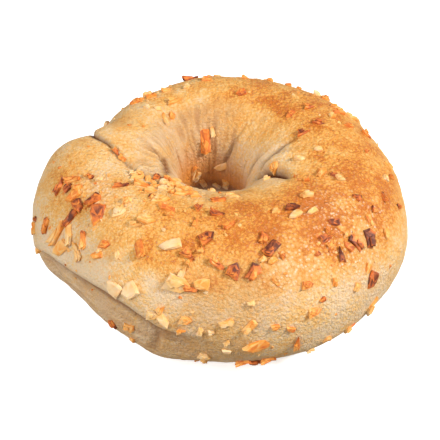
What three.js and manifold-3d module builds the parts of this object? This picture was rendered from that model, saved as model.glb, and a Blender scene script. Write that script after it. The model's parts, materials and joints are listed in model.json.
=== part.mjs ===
// An onion bagel: one baked ring of dough with dried onion flakes baked into its crust.
//
// Frame: millimetres, +Z up. The bagel lies on z = 0, with its plan centre at x = y = 0.
// Places on the dough are given by two angles. The bearing goes round the ring, 0 at +X and 90 at
// +Y. The slope goes round the section of the rope: 0 outside, 90 on top, 180 in the hole.
import * as THREE from 'three';
import Module from 'manifold-3d';

// Driving dimensions
const OUTER_RADIUS = [
  58.6, 55.8, 53.6, 50.6, 48.4, 47.6, 45.4, 42.8, 39.2, 52.8, 56.7, 55.5, 57.8, 59.5, 61.2, 63, 63, 62.4,
];
const HOLE_RADIUS = [10.5, 12, 13.7, 12, 9.5, 9, 8.4, 9];
const HEIGHT = [38, 37.5, 36.5, 36, 35.4, 38, 40.8, 41, 42, 41.5, 40.5, 39];
const TUCK = [0, 0, 0, 0, 0, 0, 0, 0, 0, 0, 1, 5.2, 6.4, 2.4, 0, 0, 0, 0];
const WAIST = 0.46;
const FOOT_SINK = 0.1;
const FOOT_POWER = 0.75;
const UNDERSIDE_POWER = 0.85;
const HOLE_CENTRE = { x: -2.35, y: 6.65 };

// Mesh steps
const FOOT_EDGE = { outer: -64, inner: 244 };
const COLUMN_STEP = { wide: 4.4, narrow: 1.6, reach: 10 };
const ROW_STEP = { wide: 11.5, narrow: 4.4, reach: 13 };
const ROWS_CLOSE_BY = [0, 108];
const OVERLAP = { foot: 157, top: [182, 92], spread: 70 };
const OVERHANG_SPREAD = 52;
const CURVE_STEPS = 8;
const FINE = { columns: 360, rows: 180 };

// Broad swellings and hollows: where, how high and how wide
const SWELLINGS = [
  { bearing: 170, slope: 32, height: 2.8, reach: 12 },
  { bearing: 254, slope: -32, height: 2.6, reach: 9 },
  { bearing: 203, slope: -30, height: 1, reach: 8 },
];

// Creases: the route in bearing and slope, the groove, the dough that swells up on one side and
// leans over, the dough that sinks on the other side, and the share of each end that fades. A size
// given as a list changes along the route.
const PLAIN_CREASE = {
  lift: 0.4, liftReach: 4, sink: 0, sinkReach: 4, lean: 0.3, leanReach: 1.6, fade: [0.4, 0.3], side: 1,
};
const CREASES = [
  {
    // where the round end of the rope lies over its other end
    route: [
      [157, -60], [158, -20], [161, 20], [167, 50], [173, 68], [177, 80], [182, 92],
      [191, 101], [200, 107], [207, 110.5], [219, 113], [230, 115], [238, 120], [242, 132],
    ],
    depth: 1.6, width: 0.7, lift: [1.2, 1.2, 1.3, 1.1, 0.5, 0.1, 0], rise: 3.6, liftReach: 13,
    sink: 1.2, sinkReach: 6, lean: 0.2, fade: [0.12, 0.16],
  },
  {
    // the overhang along the lower left
    route: [
      [196, -14], [203.5, -3], [210, 6], [216.5, 9.5], [223.5, 12], [233, 16.5], [241, 17.5],
      [250, 12.5], [256, 7], [261.5, 3.5], [266, 0.5], [273, -4],
    ],
    depth: 2.8, width: 1.2, lift: 1, liftReach: 6, sink: 4.2, sinkReach: 12.6, lean: 1.9,
    leanReach: 3, fade: [0.12, 0.25],
  },
  {
    // the short fold under the overhang
    route: [[256, 3], [254, -10], [252.5, -28]],
    depth: 0.8, width: 1.5, lift: 0.8, liftReach: 3.5, leanReach: 2, fade: [0.3, 0.4],
  },
  {
    // the wall of the hole
    route: [[168, 116], [173.5, 124], [179.5, 130.5], [187, 135], [196.5, 138.5], [206, 141]],
    depth: 1.4, width: 0.6, lift: 0.4, lean: 0.4, fade: [0.5, 0.15], side: -1,
  },
  {
    route: [[56, 118], [61, 138], [67, 158], [72, 170], [75, 185]],
    depth: 0.9, width: 0.7, lift: 0.2, fade: [0.7, 0.3],
  },
  { route: [[24, 135], [19, 152], [14, 168], [12, 185]], depth: 1, width: 0.9, fade: [0.35, 0.3] },
  {
    route: [[16, 100], [11, 118], [6, 131], [0, 141], [-6, 150]],
    depth: 1.3, width: 1.2, lift: 0.6, liftReach: 5, lean: 0.4, leanReach: 2,
  },
  {
    // the pocket at the right of the hole
    route: [[329, 108], [337, 119], [343, 130], [349, 140], [352, 155]],
    depth: 2.6, width: 1.4, lift: 1, liftReach: 7, sink: 0.6, sinkReach: 5, lean: 1, leanReach: 2.4,
    fade: [0.35, 0.2], side: -1,
  },
];
const AGREE = { from: -0.1, over: 0.6 };
const BLEND_AREA = 30;

// The large flakes are placed by eye in one view of the bagel, from the front and 45 degrees above.
// A place in that view is counted in steps across and down a square; the scale is steps per mm.
const VIEW = {
  elevation: 45, distance: 430, aim: [2.45, -10.79, 18], square: 440, focal: 1402.6, reach: 2, pull: 10,
};

// Flakes in the view: across, down, length, width, turn of the long side from level
const FLAKES = [
  [57, 232, 9, 2.8, 43], [68, 221, 6.5, 2.3, 45], [68, 238, 7, 2.4, 105], [61, 249, 6, 3.4, 20],
  [77, 253, 6, 2, 125], [82, 239, 5.5, 2.1, 95], [45, 225, 5, 2.5, 75], [73, 179, 5.6, 2, -5],
  [58, 186, 5, 2.1, 65], [66, 187, 3.4, 2.2, 60], [71, 196, 4.4, 2.6, 30], [78, 205, 4.2, 3, 120],
  [91, 200, 5.4, 3.5, 40], [98, 214, 6, 4, 90], [120, 185, 4.3, 1.7, -5], [142, 184, 6.6, 2.5, -15],
  [139, 173, 3.8, 2.2, -20], [157, 176, 2.6, 2.2, 20], [119, 212, 4.2, 2.5, 10], [147, 219, 5, 3, -20],
  [165, 208, 4.6, 2.4, -30], [104, 243, 3.6, 2.2, -10], [96, 254, 3.4, 2.2, 10], [139, 250, 6, 2.7, 115],
  [113, 290, 4.6, 3.8, -40], [129, 291, 4.7, 4.4, 30], [112, 325, 3.3, 2, -50], [130, 328, 3.4, 2.5, -20],
  [153, 316, 4, 2.2, 10], [165, 319, 4.6, 2.4, 120], [178, 284, 8, 4.2, -15], [200, 285, 4.2, 3.1, -10],
  [183, 272, 3.4, 2, 60], [171, 246, 5.6, 3, 10], [187, 256, 4.2, 3, -45], [205, 236, 5.2, 3.1, 45],
  [217, 263, 4.8, 2.1, -40], [232, 272, 4.8, 3.4, 75], [253, 271, 5.2, 3.6, 45], [270, 248, 6.2, 3, 55],
  [263, 239, 3.6, 2.6, 60], [291, 206, 4.4, 2.2, 12], [295, 214, 3.8, 2.2, 50], [230, 225, 4, 1.6, 45],
  [219, 214, 4.5, 2, 10], [218, 200, 4.6, 2.2, 15], [232, 195, 4.6, 2.4, -10], [198, 207, 3, 2.2, 60],
  [207, 143, 8.6, 3.2, 100], [220, 168, 4.2, 2.1, 25], [195, 172, 5, 2.1, 115], [204, 184, 4, 1.8, 120],
  [225, 185, 3.8, 2.6, 60], [175, 184, 4.8, 3, 120], [190, 77, 5.2, 2.2, 15], [207, 78, 3.2, 1.9, 0],
  [173, 100, 4.6, 2.1, 35], [166, 119, 4, 1.8, 100], [134, 101, 3, 2.5, 20], [151, 95, 3.6, 1.7, 30],
  [319, 93, 3.6, 2.2, -40], [291, 113, 3.2, 1.8, 60], [309, 106, 3, 2, 20], [321, 123, 4.2, 2, -20],
  [302, 132, 3.8, 2.2, 15], [335, 106, 3.6, 2.2, -35], [332, 115, 3, 2, 40], [351, 116, 3.6, 2.2, -30],
  [366, 133, 3.2, 1.9, -45], [298, 158, 3.2, 2.1, -30], [273, 166, 4.2, 2.6, 30], [335, 175, 3.4, 1.8, 115],
  [308, 194, 4.2, 2.7, 50], [357, 198, 3, 2.2, -20], [385, 196, 3.8, 1.8, 80], [389, 165, 3.8, 2, 110],
  [371, 222, 3.6, 1.6, 110], [335, 221, 3.3, 2.2, -5], [326, 238, 4.2, 2.8, 30], [348, 246, 3.3, 2, -40],
  [358, 244, 5.5, 2.9, 125], [368, 239, 5.8, 3.5, 75], [341, 257, 4.2, 2, 100], [372, 281, 5, 3.1, 60],
  [306, 285, 3.8, 2, 10], [315, 312, 4.4, 2.2, 15], [250, 329, 5, 2.2, 55], [226, 325, 4.3, 2.2, 10],
  [255, 344, 7.2, 3.6, 8], [298, 344, 5.3, 2, 100], [184, 321, 3.8, 2.2, 0], [205, 356, 3.8, 2, -5],
  [243, 363, 4.6, 2, 10], [256, 364, 3.8, 2.2, -30], [268, 361, 4.6, 2, 15], [373, 306, 5.4, 2.4, 50],
];

// Flakes on the sides that the view doesn't show
const HIDDEN = {
  count: 22, seed: 1917, bearings: [20, 160], slopes: [-25, 60], gap: 9, length: [2.6, 4.6],
  shape: [0.45, 0.8],
};
const FLAKE = {
  thin: 0.9, perWidth: 0.3, sunk: 0.3, taper: 0.82, ragged: 0.28, tilt: 16, roll: 22, clearance: 0.4,
};

const DOUGH_COLOUR = '#dda56d';

const radians = THREE.MathUtils.degToRad;

function catmull(a, b, c, d, t) {
  const slope = c - a;
  const bend = 2 * a - 5 * b + 4 * c - d;
  const twist = 3 * b - a - 3 * c + d;
  return 0.5 * (2 * b + slope * t + bend * t * t + twist * t * t * t);
}

// A smooth value round the ring, through evenly spaced values
function around(values, bearing) {
  const count = values.length;
  const place = (THREE.MathUtils.euclideanModulo(bearing, 360) / 360) * count;
  const index = Math.floor(place);
  const at = (step) => values[(index + step + count) % count];
  return catmull(at(-1), at(0), at(1), at(2), place - index);
}

function smooth(share) {
  const t = THREE.MathUtils.clamp(share, 0, 1);
  return t * t * (3 - 2 * t);
}

// The plain rope before its swellings and creases
function rope(bearing, slope) {
  const outer = around(OUTER_RADIUS, bearing);
  const inner = around(HOLE_RADIUS, bearing);
  const height = around(HEIGHT, bearing);
  const middle = (outer + inner) / 2;
  const half = (outer - inner) / 2;
  const waist = WAIST * height;
  const rise = Math.sin(radians(slope));
  const out = Math.cos(radians(slope));
  const above = rise >= 0;
  let z = waist + (height - waist) * rise;
  let radius = middle + half * out;
  if (!above) {
    z = waist - waist * (1 + FOOT_SINK) * Math.abs(rise) ** FOOT_POWER;
    radius = middle + half * Math.sign(out) * Math.abs(out) ** UNDERSIDE_POWER;
    if (out > 0) radius -= around(TUCK, bearing) * rise * rise;
  }
  const turn = radians(bearing);
  return new THREE.Vector3(radius * Math.cos(turn), radius * Math.sin(turn), z);
}

function ropeNormal(bearing, slope) {
  const step = 0.5;
  const round = rope(bearing + step, slope).sub(rope(bearing - step, slope));
  const across = rope(bearing, slope + step).sub(rope(bearing, slope - step));
  return round.cross(across).normalize();
}

// A crease's route as short straight pieces on the rope
function traceRoute(route) {
  const points = [];
  const first = route[0].map((value, k) => 2 * value - route[1][k]);
  const last = route.at(-1).map((value, k) => 2 * value - route.at(-2)[k]);
  const ends = [first, ...route, last];
  for (let i = 1; i < ends.length - 2; i += 1) {
    for (let step = 0; step < CURVE_STEPS; step += 1) {
      const t = step / CURVE_STEPS;
      points.push([0, 1].map((k) => catmull(ends[i - 1][k], ends[i][k], ends[i + 1][k], ends[i + 2][k], t)));
    }
  }
  points.push(route.at(-1));
  const places = points.map(([bearing, slope]) => rope(bearing, slope));
  const normals = points.map(([bearing, slope]) => ropeNormal(bearing, slope));
  const pieces = [];
  let walked = 0;
  for (let i = 0; i < places.length - 1; i += 1) {
    const along = places[i + 1].clone().sub(places[i]);
    const length = along.length();
    pieces.push({ start: places[i], along: along.divideScalar(length), length, walked, normal: normals[i] });
    walked += length;
  }
  return { pieces, total: walked };
}

const TRACED = CREASES.map((crease) => ({
  ...PLAIN_CREASE, rise: crease.width, ...crease, ...traceRoute(crease.route),
}));

// One size, or evenly spaced sizes along a route
function sizeAt(size, share) {
  if (!Array.isArray(size)) return size;
  const place = THREE.MathUtils.clamp(share, 0, 1) * (size.length - 1);
  const index = Math.min(Math.floor(place), size.length - 2);
  return THREE.MathUtils.lerp(size[index], size[index + 1], place - index);
}

// A hump that fades with distance, and its opposite
const near = (distance, reach) => Math.exp(-((distance / reach) ** 2));
const beyond = (distance, reach) => 1 - near(distance, reach);

// How far a crease moves one point of the rope
function creaseShift(point, normal, crease) {
  const found = [];
  let nearest = null;
  for (const piece of crease.pieces) {
    const walk = point.clone().sub(piece.start).dot(piece.along);
    const along = THREE.MathUtils.clamp(walk, 0, piece.length);
    const foot = piece.start.clone().addScaledVector(piece.along, along);
    const entry = { piece, foot, distance: foot.distanceTo(point), share: (piece.walked + along) / crease.total };
    found.push(entry);
    if (!nearest || entry.distance < nearest.distance) nearest = entry;
  }
  const reach = nearest.distance;
  let weights = 0;
  let shares = 0;
  for (const entry of found) {
    const weight = Math.exp((reach * reach - entry.distance ** 2) / BLEND_AREA);
    weights += weight;
    shares += weight * entry.share;
  }
  const agree = smooth((normal.dot(nearest.piece.normal) - AGREE.from) / AGREE.over);
  const side = normal.clone().cross(nearest.piece.along).normalize().multiplyScalar(crease.side);
  const signed = Math.sign(point.clone().sub(nearest.foot).dot(side)) * reach;
  const [start, end] = crease.fade;
  const fade = smooth(nearest.share / start) * smooth((1 - nearest.share) / end) * agree;
  const groove = near(signed, crease.width);
  let raised = -crease.sink * (1 - groove) * near(signed, crease.sinkReach);
  let lean = 0;
  if (signed > 0) {
    const walked = shares / weights;
    raised = sizeAt(crease.lift, walked) * beyond(signed, crease.rise) * near(signed, crease.liftReach);
    lean = sizeAt(crease.lean, walked) * beyond(signed, 0.5 * crease.width) * near(signed, crease.leanReach);
  }
  const shift = normal.clone().multiplyScalar(raised - crease.depth * groove);
  return shift.addScaledVector(side, -lean).multiplyScalar(fade);
}

// A point on the finished dough
function dough(bearing, slope) {
  const point = rope(bearing, slope);
  const normal = ropeNormal(bearing, slope);
  const place = point.clone();
  for (const swelling of SWELLINGS) {
    const gap = point.distanceTo(rope(swelling.bearing, swelling.slope));
    place.addScaledVector(normal, swelling.height * near(gap, swelling.reach));
  }
  for (const crease of TRACED) place.add(creaseShift(point, normal, crease));
  place.z = Math.max(place.z, 0);
  return place;
}

// Values from one end to the other, closer together beside the given places
function spaced(from, to, places, step) {
  const values = [from];
  while (values.at(-1) < to) {
    const close = Math.max(...places.map((place) => near(values.at(-1) - place, step.reach)));
    values.push(values.at(-1) + THREE.MathUtils.lerp(step.wide, step.narrow, close));
  }
  const stretch = (to - from) / (values.at(-1) - from);
  return values.map((value) => from + (value - from) * stretch);
}

// The value of a route's one angle at its other, held at the ends
function routeAt(route, given, wanted, value) {
  const index = route.findIndex((point) => point[given] > value);
  if (index === 0) return route[0][wanted];
  if (index < 0) return route.at(-1)[wanted];
  const [before, after] = [route[index - 1], route[index]];
  return THREE.MathUtils.mapLinear(value, before[given], after[given], before[wanted], after[wanted]);
}

// A crossing of the mesh: its columns lean with the overlap's route, its rows with the overhang's
function crossing(column, row) {
  const [overlap, overhang] = CREASES;
  const [topBearing, topSlope] = OVERLAP.top;
  let lean = routeAt(overlap.route, 1, 0, Math.min(row, topSlope)) - OVERLAP.foot;
  if (row > topSlope) {
    lean = (topBearing - OVERLAP.foot) * smooth((FOOT_EDGE.inner - row) / (FOOT_EDGE.inner - topSlope));
  }
  const bearing = column + lean * smooth(1 - Math.abs(column - OVERLAP.foot) / OVERLAP.spread);
  const [start, end] = [overhang.route[0], overhang.route.at(-1)];
  const outside = Math.max(start[0] - bearing, bearing - end[0], 0);
  const dip = routeAt(overhang.route, 0, 1, bearing) * smooth(1 - outside / OVERHANG_SPREAD);
  const slope = row + dip * smooth(1 - Math.abs(row) / OVERHANG_SPREAD);
  return [bearing, slope];
}

// The dough as a closed mesh: rings of points round the rope, and a flat foot between the edges
function doughMesh() {
  const points = [];
  const faces = [];
  const columns = spaced(OVERLAP.foot - 180, OVERLAP.foot + 180, [OVERLAP.foot], COLUMN_STEP).slice(0, -1);
  const rows = spaced(FOOT_EDGE.outer, FOOT_EDGE.inner, ROWS_CLOSE_BY, ROW_STEP);
  for (const column of columns) {
    for (const row of rows) {
      const place = dough(...crossing(column, row));
      if (row === rows[0] || row === rows.at(-1)) place.z = 0;
      points.push(place);
    }
  }
  const span = rows.length;
  for (let column = 0; column < columns.length; column += 1) {
    const next = (column + 1) % columns.length;
    for (let row = 0; row < span; row += 1) {
      const above = (row + 1) % span;
      const a = column * span + row;
      const b = next * span + row;
      const c = next * span + above;
      const d = column * span + above;
      faces.push([a, b, c], [a, c, d]);
    }
  }
  return { points, faces };
}

// The view in which the large flakes are placed
function makeView() {
  const tilt = radians(VIEW.elevation);
  const toward = new THREE.Vector3(0, -Math.cos(tilt), Math.sin(tilt));
  const across = new THREE.Vector3(1, 0, 0);
  const up = toward.clone().cross(across);
  const eye = new THREE.Vector3(...VIEW.aim).addScaledVector(toward, VIEW.distance);
  return { toward, across, up, eye };
}

// Every small patch of the dough that faces the view, with its place in the view
function facingPatches(view) {
  const patches = [];
  const rings = [];
  for (let column = 0; column < FINE.columns; column += 1) {
    const ring = [];
    for (let row = 0; row < FINE.rows; row += 1) {
      ring.push(dough((360 * column) / FINE.columns, (360 * row) / FINE.rows));
    }
    rings.push(ring);
  }
  for (let column = 0; column < FINE.columns; column += 1) {
    for (let row = 0; row < FINE.rows; row += 1) {
      const place = rings[column][row];
      const beside = rings[(column + 1) % FINE.columns][row];
      const above = rings[column][(row + 1) % FINE.rows];
      const normal = beside.clone().sub(place).cross(above.clone().sub(place)).normalize();
      const sight = view.eye.clone().sub(place);
      const depth = sight.dot(view.toward);
      if (normal.dot(sight) > 0 && place.z > 0) {
        const x = VIEW.square / 2 - (VIEW.focal * sight.dot(view.across)) / depth;
        const y = VIEW.square / 2 + (VIEW.focal * sight.dot(view.up)) / depth;
        patches.push({ place, normal, depth, x, y });
      }
    }
  }
  return patches;
}

// The patch that shows at a place in the view: the one in front, or the nearest beside an edge
function patchAt(patches, x, y) {
  let best = null;
  let least = Infinity;
  for (const patch of patches) {
    const miss = Math.hypot(patch.x - x, patch.y - y);
    const score = patch.depth + VIEW.pull * Math.max(miss - VIEW.reach, 0);
    if (score < least) {
      least = score;
      best = patch;
    }
  }
  return best;
}

// Repeatable draws between 0 and 1
function makeDraw(seed) {
  let state = seed;
  return () => {
    state = (state * 1664525 + 1013904223) % 4294967296;
    return state / 4294967296;
  };
}

// One flake: an irregular plate with five or six corners, narrower on top, partly sunk
function flakeMesh(seat, length, width, draw) {
  const thickness = FLAKE.thin + FLAKE.perWidth * width;
  const corners = draw() < 0.5 ? 5 : 6;
  const tilt = new THREE.Euler(
    radians(FLAKE.roll * (draw() - 0.5) * 2),
    radians(FLAKE.tilt * (draw() - 0.5) * 2),
    0,
  );
  const frame = new THREE.Matrix4().makeBasis(seat.along, seat.normal.clone().cross(seat.along), seat.normal);
  frame.multiply(new THREE.Matrix4().makeRotationFromEuler(tilt));
  frame.setPosition(seat.place);
  const bottom = [];
  const top = [];
  for (let corner = 0; corner < corners; corner += 1) {
    const turn = ((corner + 0.6 * (draw() - 0.5)) / corners) * 2 * Math.PI;
    const reach = 1 + FLAKE.ragged * (draw() - 0.5) * 2;
    const x = (length / 2) * reach * Math.cos(turn);
    const y = (width / 2) * reach * Math.sin(turn);
    bottom.push(new THREE.Vector3(x, y, -FLAKE.sunk * thickness));
    top.push(new THREE.Vector3(x * FLAKE.taper, y * FLAKE.taper, (1 - FLAKE.sunk) * thickness));
  }
  const points = [...bottom, ...top].map((point) => point.applyMatrix4(frame));
  const faces = [];
  for (let corner = 0; corner < corners; corner += 1) {
    const next = (corner + 1) % corners;
    faces.push([corner, next, corners + next], [corner, corners + next, corners + corner]);
  }
  for (let corner = 1; corner < corners - 1; corner += 1) {
    faces.push([0, corner + 1, corner], [corners, corners + corner, corners + corner + 1]);
  }
  return { points, faces };
}

function seatInView(view, patch, turn) {
  const along = view.across.clone().multiplyScalar(Math.cos(radians(turn)));
  along.addScaledVector(view.up, Math.sin(radians(turn)));
  along.addScaledVector(patch.normal, -along.dot(patch.normal)).normalize();
  return { place: patch.place, normal: patch.normal, along };
}

function viewedFlakes(draw) {
  const view = makeView();
  const patches = facingPatches(view);
  return FLAKES.map(([x, y, length, width, turn]) => {
    const seat = seatInView(view, patchAt(patches, x, y), turn);
    return flakeMesh(seat, length, width, draw);
  });
}

function hiddenFlakes(draw) {
  const seats = [];
  const between = ([low, high]) => THREE.MathUtils.lerp(low, high, draw());
  while (seats.length < HIDDEN.count) {
    const bearing = between(HIDDEN.bearings);
    const slope = between(HIDDEN.slopes);
    const place = dough(bearing, slope);
    if (seats.every((seat) => seat.place.distanceTo(place) > HIDDEN.gap)) {
      const normal = ropeNormal(bearing, slope);
      const along = new THREE.Vector3(0, 0, 1).cross(normal).normalize();
      along.applyAxisAngle(normal, draw() * Math.PI);
      seats.push({ place, normal, along });
    }
  }
  return seats.map((seat) => {
    const length = between(HIDDEN.length);
    return flakeMesh(seat, length, length * between(HIDDEN.shape), draw);
  });
}

// A flake beside the foot is pushed up until it clears what the bagel lies on
function keptOffTheFloor(flake) {
  const lowest = Math.min(...flake.points.map((point) => point.z));
  const raise = Math.max(FLAKE.clearance - lowest, 0);
  for (const point of flake.points) point.z += raise;
  return flake;
}

function toSolid(wasm, { points, faces }) {
  const vertProperties = new Float32Array(points.flatMap((point) => point.toArray()));
  const triVerts = new Uint32Array(faces.flat());
  return new wasm.Manifold(new wasm.Mesh({ numProp: 3, vertProperties, triVerts }));
}

function toGeometry(solid) {
  const mesh = solid.getMesh();
  const geometry = new THREE.BufferGeometry();
  geometry.setAttribute('position', new THREE.BufferAttribute(Float32Array.from(mesh.vertProperties), 3));
  geometry.setIndex(Array.from(mesh.triVerts));
  geometry.translate(HOLE_CENTRE.x, HOLE_CENTRE.y, 0);
  geometry.computeVertexNormals();
  return geometry;
}

async function makeBagel() {
  const wasm = await Module();
  wasm.setup();
  let solid = toSolid(wasm, doughMesh());
  const draw = makeDraw(HIDDEN.seed);
  for (const flake of [...viewedFlakes(draw), ...hiddenFlakes(draw)]) {
    solid = solid.add(toSolid(wasm, keptOffTheFloor(flake)));
  }
  // a flake that only meets a fold finer than the facets stays loose, so it is dropped
  const pieces = solid.decompose().sort((a, b) => b.volume() - a.volume());
  solid = pieces[0];
  const material = new THREE.MeshStandardMaterial({ color: DOUGH_COLOUR, roughness: 0.62, metalness: 0 });
  const bagel = new THREE.Mesh(toGeometry(solid), material);
  bagel.name = 'bagel';
  return bagel;
}

const group = new THREE.Group();
group.name = 'onion_bagel';
group.add(await makeBagel());

export default group;
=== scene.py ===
# %% [markdown]
# # An onion bagel
# One ring of baked dough with dried onion flakes baked into its crust. The solid model gives the
# size, the place and the form. This lesson gives the same form a fine skin, a baked colour and
# real flakes, and then lights it like a picture in a bakery's catalogue.

# %% Load the solid model
import json
import math

import bpy
import numpy as np
from mathutils import Matrix, Vector, noise

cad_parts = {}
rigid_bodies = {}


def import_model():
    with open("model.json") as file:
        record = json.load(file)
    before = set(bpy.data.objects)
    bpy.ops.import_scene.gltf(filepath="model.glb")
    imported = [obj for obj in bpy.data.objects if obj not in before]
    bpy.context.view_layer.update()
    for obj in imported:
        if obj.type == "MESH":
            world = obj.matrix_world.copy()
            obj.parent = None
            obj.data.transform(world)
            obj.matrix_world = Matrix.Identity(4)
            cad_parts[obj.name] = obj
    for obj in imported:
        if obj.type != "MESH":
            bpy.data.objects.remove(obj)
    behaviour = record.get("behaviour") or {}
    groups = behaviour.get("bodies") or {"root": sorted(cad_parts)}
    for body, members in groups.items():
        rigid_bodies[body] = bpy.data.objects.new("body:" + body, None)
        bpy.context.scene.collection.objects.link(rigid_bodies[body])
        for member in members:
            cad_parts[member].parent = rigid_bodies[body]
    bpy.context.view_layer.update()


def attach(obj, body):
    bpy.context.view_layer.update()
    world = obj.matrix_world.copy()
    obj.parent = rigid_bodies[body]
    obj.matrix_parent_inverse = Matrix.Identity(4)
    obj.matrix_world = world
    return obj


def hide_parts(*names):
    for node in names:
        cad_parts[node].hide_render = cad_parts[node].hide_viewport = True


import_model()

MM = 0.001

# %% [markdown]
# ## Where the photograph was taken from
# The flakes are placed by where they show in the picture, so the camera comes first. It stands in
# front of the bagel, 45 degrees above the table and far enough away to flatten the ring slightly.

# %% Camera
HOLE_CENTRE = np.array([-2.35, 6.65, 0.0])
VIEW_ELEVATION = math.radians(45)
VIEW_DISTANCE = 430.0
VIEW_AIM = np.array([2.45, -10.79, 18.0])
VIEW_FOCAL = 1402.6
PICTURE = 440
SENSOR = 36.0
VIEW_SCALE = VIEW_FOCAL / VIEW_DISTANCE

toward = np.array([0.0, -math.cos(VIEW_ELEVATION), math.sin(VIEW_ELEVATION)])
across = np.array([1.0, 0.0, 0.0])
upward = np.cross(toward, across)
eye = VIEW_AIM + toward * VIEW_DISTANCE

camera_data = bpy.data.cameras.new("camera")
camera_data.sensor_width = SENSOR
camera_data.lens = SENSOR * VIEW_FOCAL / PICTURE
camera_data.clip_start = 0.01
camera = bpy.data.objects.new("camera", camera_data)
camera.location = Vector((eye + HOLE_CENTRE) * MM)
camera.rotation_euler = Vector(toward).to_track_quat("Z", "Y").to_euler()
bpy.context.scene.collection.objects.link(camera)
bpy.context.scene.camera = camera


def in_view(points):
    """The lines of sight to some points, their depth, and where they show, across and down."""
    sight = eye - points
    depth = sight @ toward
    x = PICTURE / 2 - VIEW_FOCAL * (sight @ across) / depth
    y = PICTURE / 2 + VIEW_FOCAL * (sight @ upward) / depth
    return sight, depth, x, y


print("camera lens, mm:", round(camera_data.lens, 1))

# %% [markdown]
# ## The rope of dough
# A bagel is a rope bent into a ring, so a point on it needs two angles. The bearing goes round the
# ring, and the slope goes round the rope's section: 0 outside, 90 on top, 180 in the hole. Three
# short lists of sizes round the ring give the outer edge, the hole and the height, and a smooth
# curve through them gives every bearing in between. A sculpted mesh would do too, but a rule can
# be read, and the solid model follows the same one.

# %% Sizes of the rope, in millimetres
OUTER_RADIUS = [
    58.6, 55.8, 53.6, 50.6, 48.4, 47.6, 45.4, 42.8, 39.2, 52.8, 56.7, 55.5, 57.8, 59.5, 61.2, 63,
    63, 62.4,
]
HOLE_RADIUS = [10.5, 12, 13.7, 12, 9.5, 9, 8.4, 9]
HEIGHT = [38, 37.5, 36.5, 36, 35.4, 38, 40.8, 41, 42, 41.5, 40.5, 39]
TUCK = [0, 0, 0, 0, 0, 0, 0, 0, 0, 0, 1, 5.2, 6.4, 2.4, 0, 0, 0, 0]
WAIST = 0.46
FOOT_SINK = 0.1
FOOT_POWER = 0.75
UNDERSIDE_POWER = 0.85


def catmull(a, b, c, d, t):
    """A smooth curve from b to c, with a and d as its neighbours."""
    bend = 2 * a - 5 * b + 4 * c - d
    twist = 3 * b - a - 3 * c + d
    return 0.5 * (2 * b + (c - a) * t + bend * t * t + twist * t * t * t)


def around(values, bearing):
    """A smooth value round the ring, through evenly spaced values."""
    values = np.asarray(values, float)
    count = len(values)
    place = np.mod(bearing, 360.0) / 360.0 * count
    index = np.floor(place).astype(int)
    before, here, after, later = (values[(index + step) % count] for step in (-1, 0, 1, 2))
    return catmull(before, here, after, later, place - index)


def smooth(share):
    """0 to 1 with soft ends."""
    t = np.clip(share, 0.0, 1.0)
    return t * t * (3 - 2 * t)


def rope(bearing, slope):
    """Points on the plain rope, before its swellings and creases."""
    outer = around(OUTER_RADIUS, bearing)
    inner = around(HOLE_RADIUS, bearing)
    height = around(HEIGHT, bearing)
    middle, half = (outer + inner) / 2, (outer - inner) / 2
    waist = WAIST * height
    rise, out = np.sin(np.radians(slope)), np.cos(np.radians(slope))
    above = rise >= 0
    low_z = waist - waist * (1 + FOOT_SINK) * np.abs(rise) ** FOOT_POWER
    z = np.where(above, waist + (height - waist) * rise, low_z)
    flat = np.sign(out) * np.abs(out) ** np.where(above, 1.0, UNDERSIDE_POWER)
    tuck = np.where(above | (out <= 0), 0.0, around(TUCK, bearing) * rise * rise)
    radius = middle + half * flat - tuck
    turn = np.radians(bearing)
    return np.stack([radius * np.cos(turn), radius * np.sin(turn), z], -1)


def unit(vectors):
    return vectors / np.maximum(np.linalg.norm(vectors, axis=-1, keepdims=True), 1e-9)


def rope_normal(bearing, slope, step=0.5):
    round_ring = rope(bearing + step, slope) - rope(bearing - step, slope)
    round_rope = rope(bearing, slope + step) - rope(bearing, slope - step)
    return unit(np.cross(round_ring, round_rope))


print("rope on top at +X, mm:", np.round(rope(0.0, 90.0), 1))

# %% [markdown]
# ## Swellings and creases
# The rope's round end lies over its other end at the left, and the dough hangs over itself along
# the lower left. Each such fold is a route over the rope: a groove runs along it, one side swells
# up and leans over the groove, the other side sinks, and the groove gets painted shade. Small folds
# on the wall of the hole and a pocket at its right are made in the same way.

# %% The folds
SWELLINGS = [  # bearing, slope, height, reach
    (170, 32, 2.8, 12),
    (254, -32, 2.6, 9),
    (203, -30, 1.0, 8),
]


def fold(route, depth, width, **sizes):
    """A fold's route and sizes. A size given as a list changes along the route."""
    # dark: how strong the painted shade in the groove is.
    usual = dict(
        lift=0.4, rise=width, lift_reach=4.0, sink=0.0, sink_reach=4.0,
        lean=0.3, lean_reach=1.6, fade=(0.4, 0.3), side=1, dark=0.7)
    return {**usual, **sizes, "route": route, "depth": depth, "width": width}


OVERLAP = fold(
    [(157, -60), (158, -20), (161, 20), (167, 50), (173, 68), (177, 80), (182, 92),
     (191, 101), (200, 107), (207, 110.5), (219, 113), (230, 115), (238, 120), (242, 132)],
    depth=1.6, width=0.7, lift=[1.2, 1.2, 1.3, 1.1, 0.5, 0.1, 0], rise=3.6, lift_reach=13.0,
    sink=1.2, sink_reach=6.0, lean=0.2,
    fade=(0.12, 0.16), dark=[0.6, 1, 1, 0.5, 0.3],
)
OVERHANG = fold(
    [(196, -14), (203.5, -3), (210, 6), (216.5, 9.5), (223.5, 12), (233, 16.5), (241, 17.5),
     (250, 12.5), (256, 7), (261.5, 3.5), (266, 0.5), (273, -4)],
    depth=2.8, width=1.2, lift=1.0, lift_reach=6.0, sink=4.2, sink_reach=12.6, lean=1.9,
    lean_reach=3.0, fade=(0.12, 0.25), dark=[0.5, 0.7, 1, 1, 0.8, 0.4],
)
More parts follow.
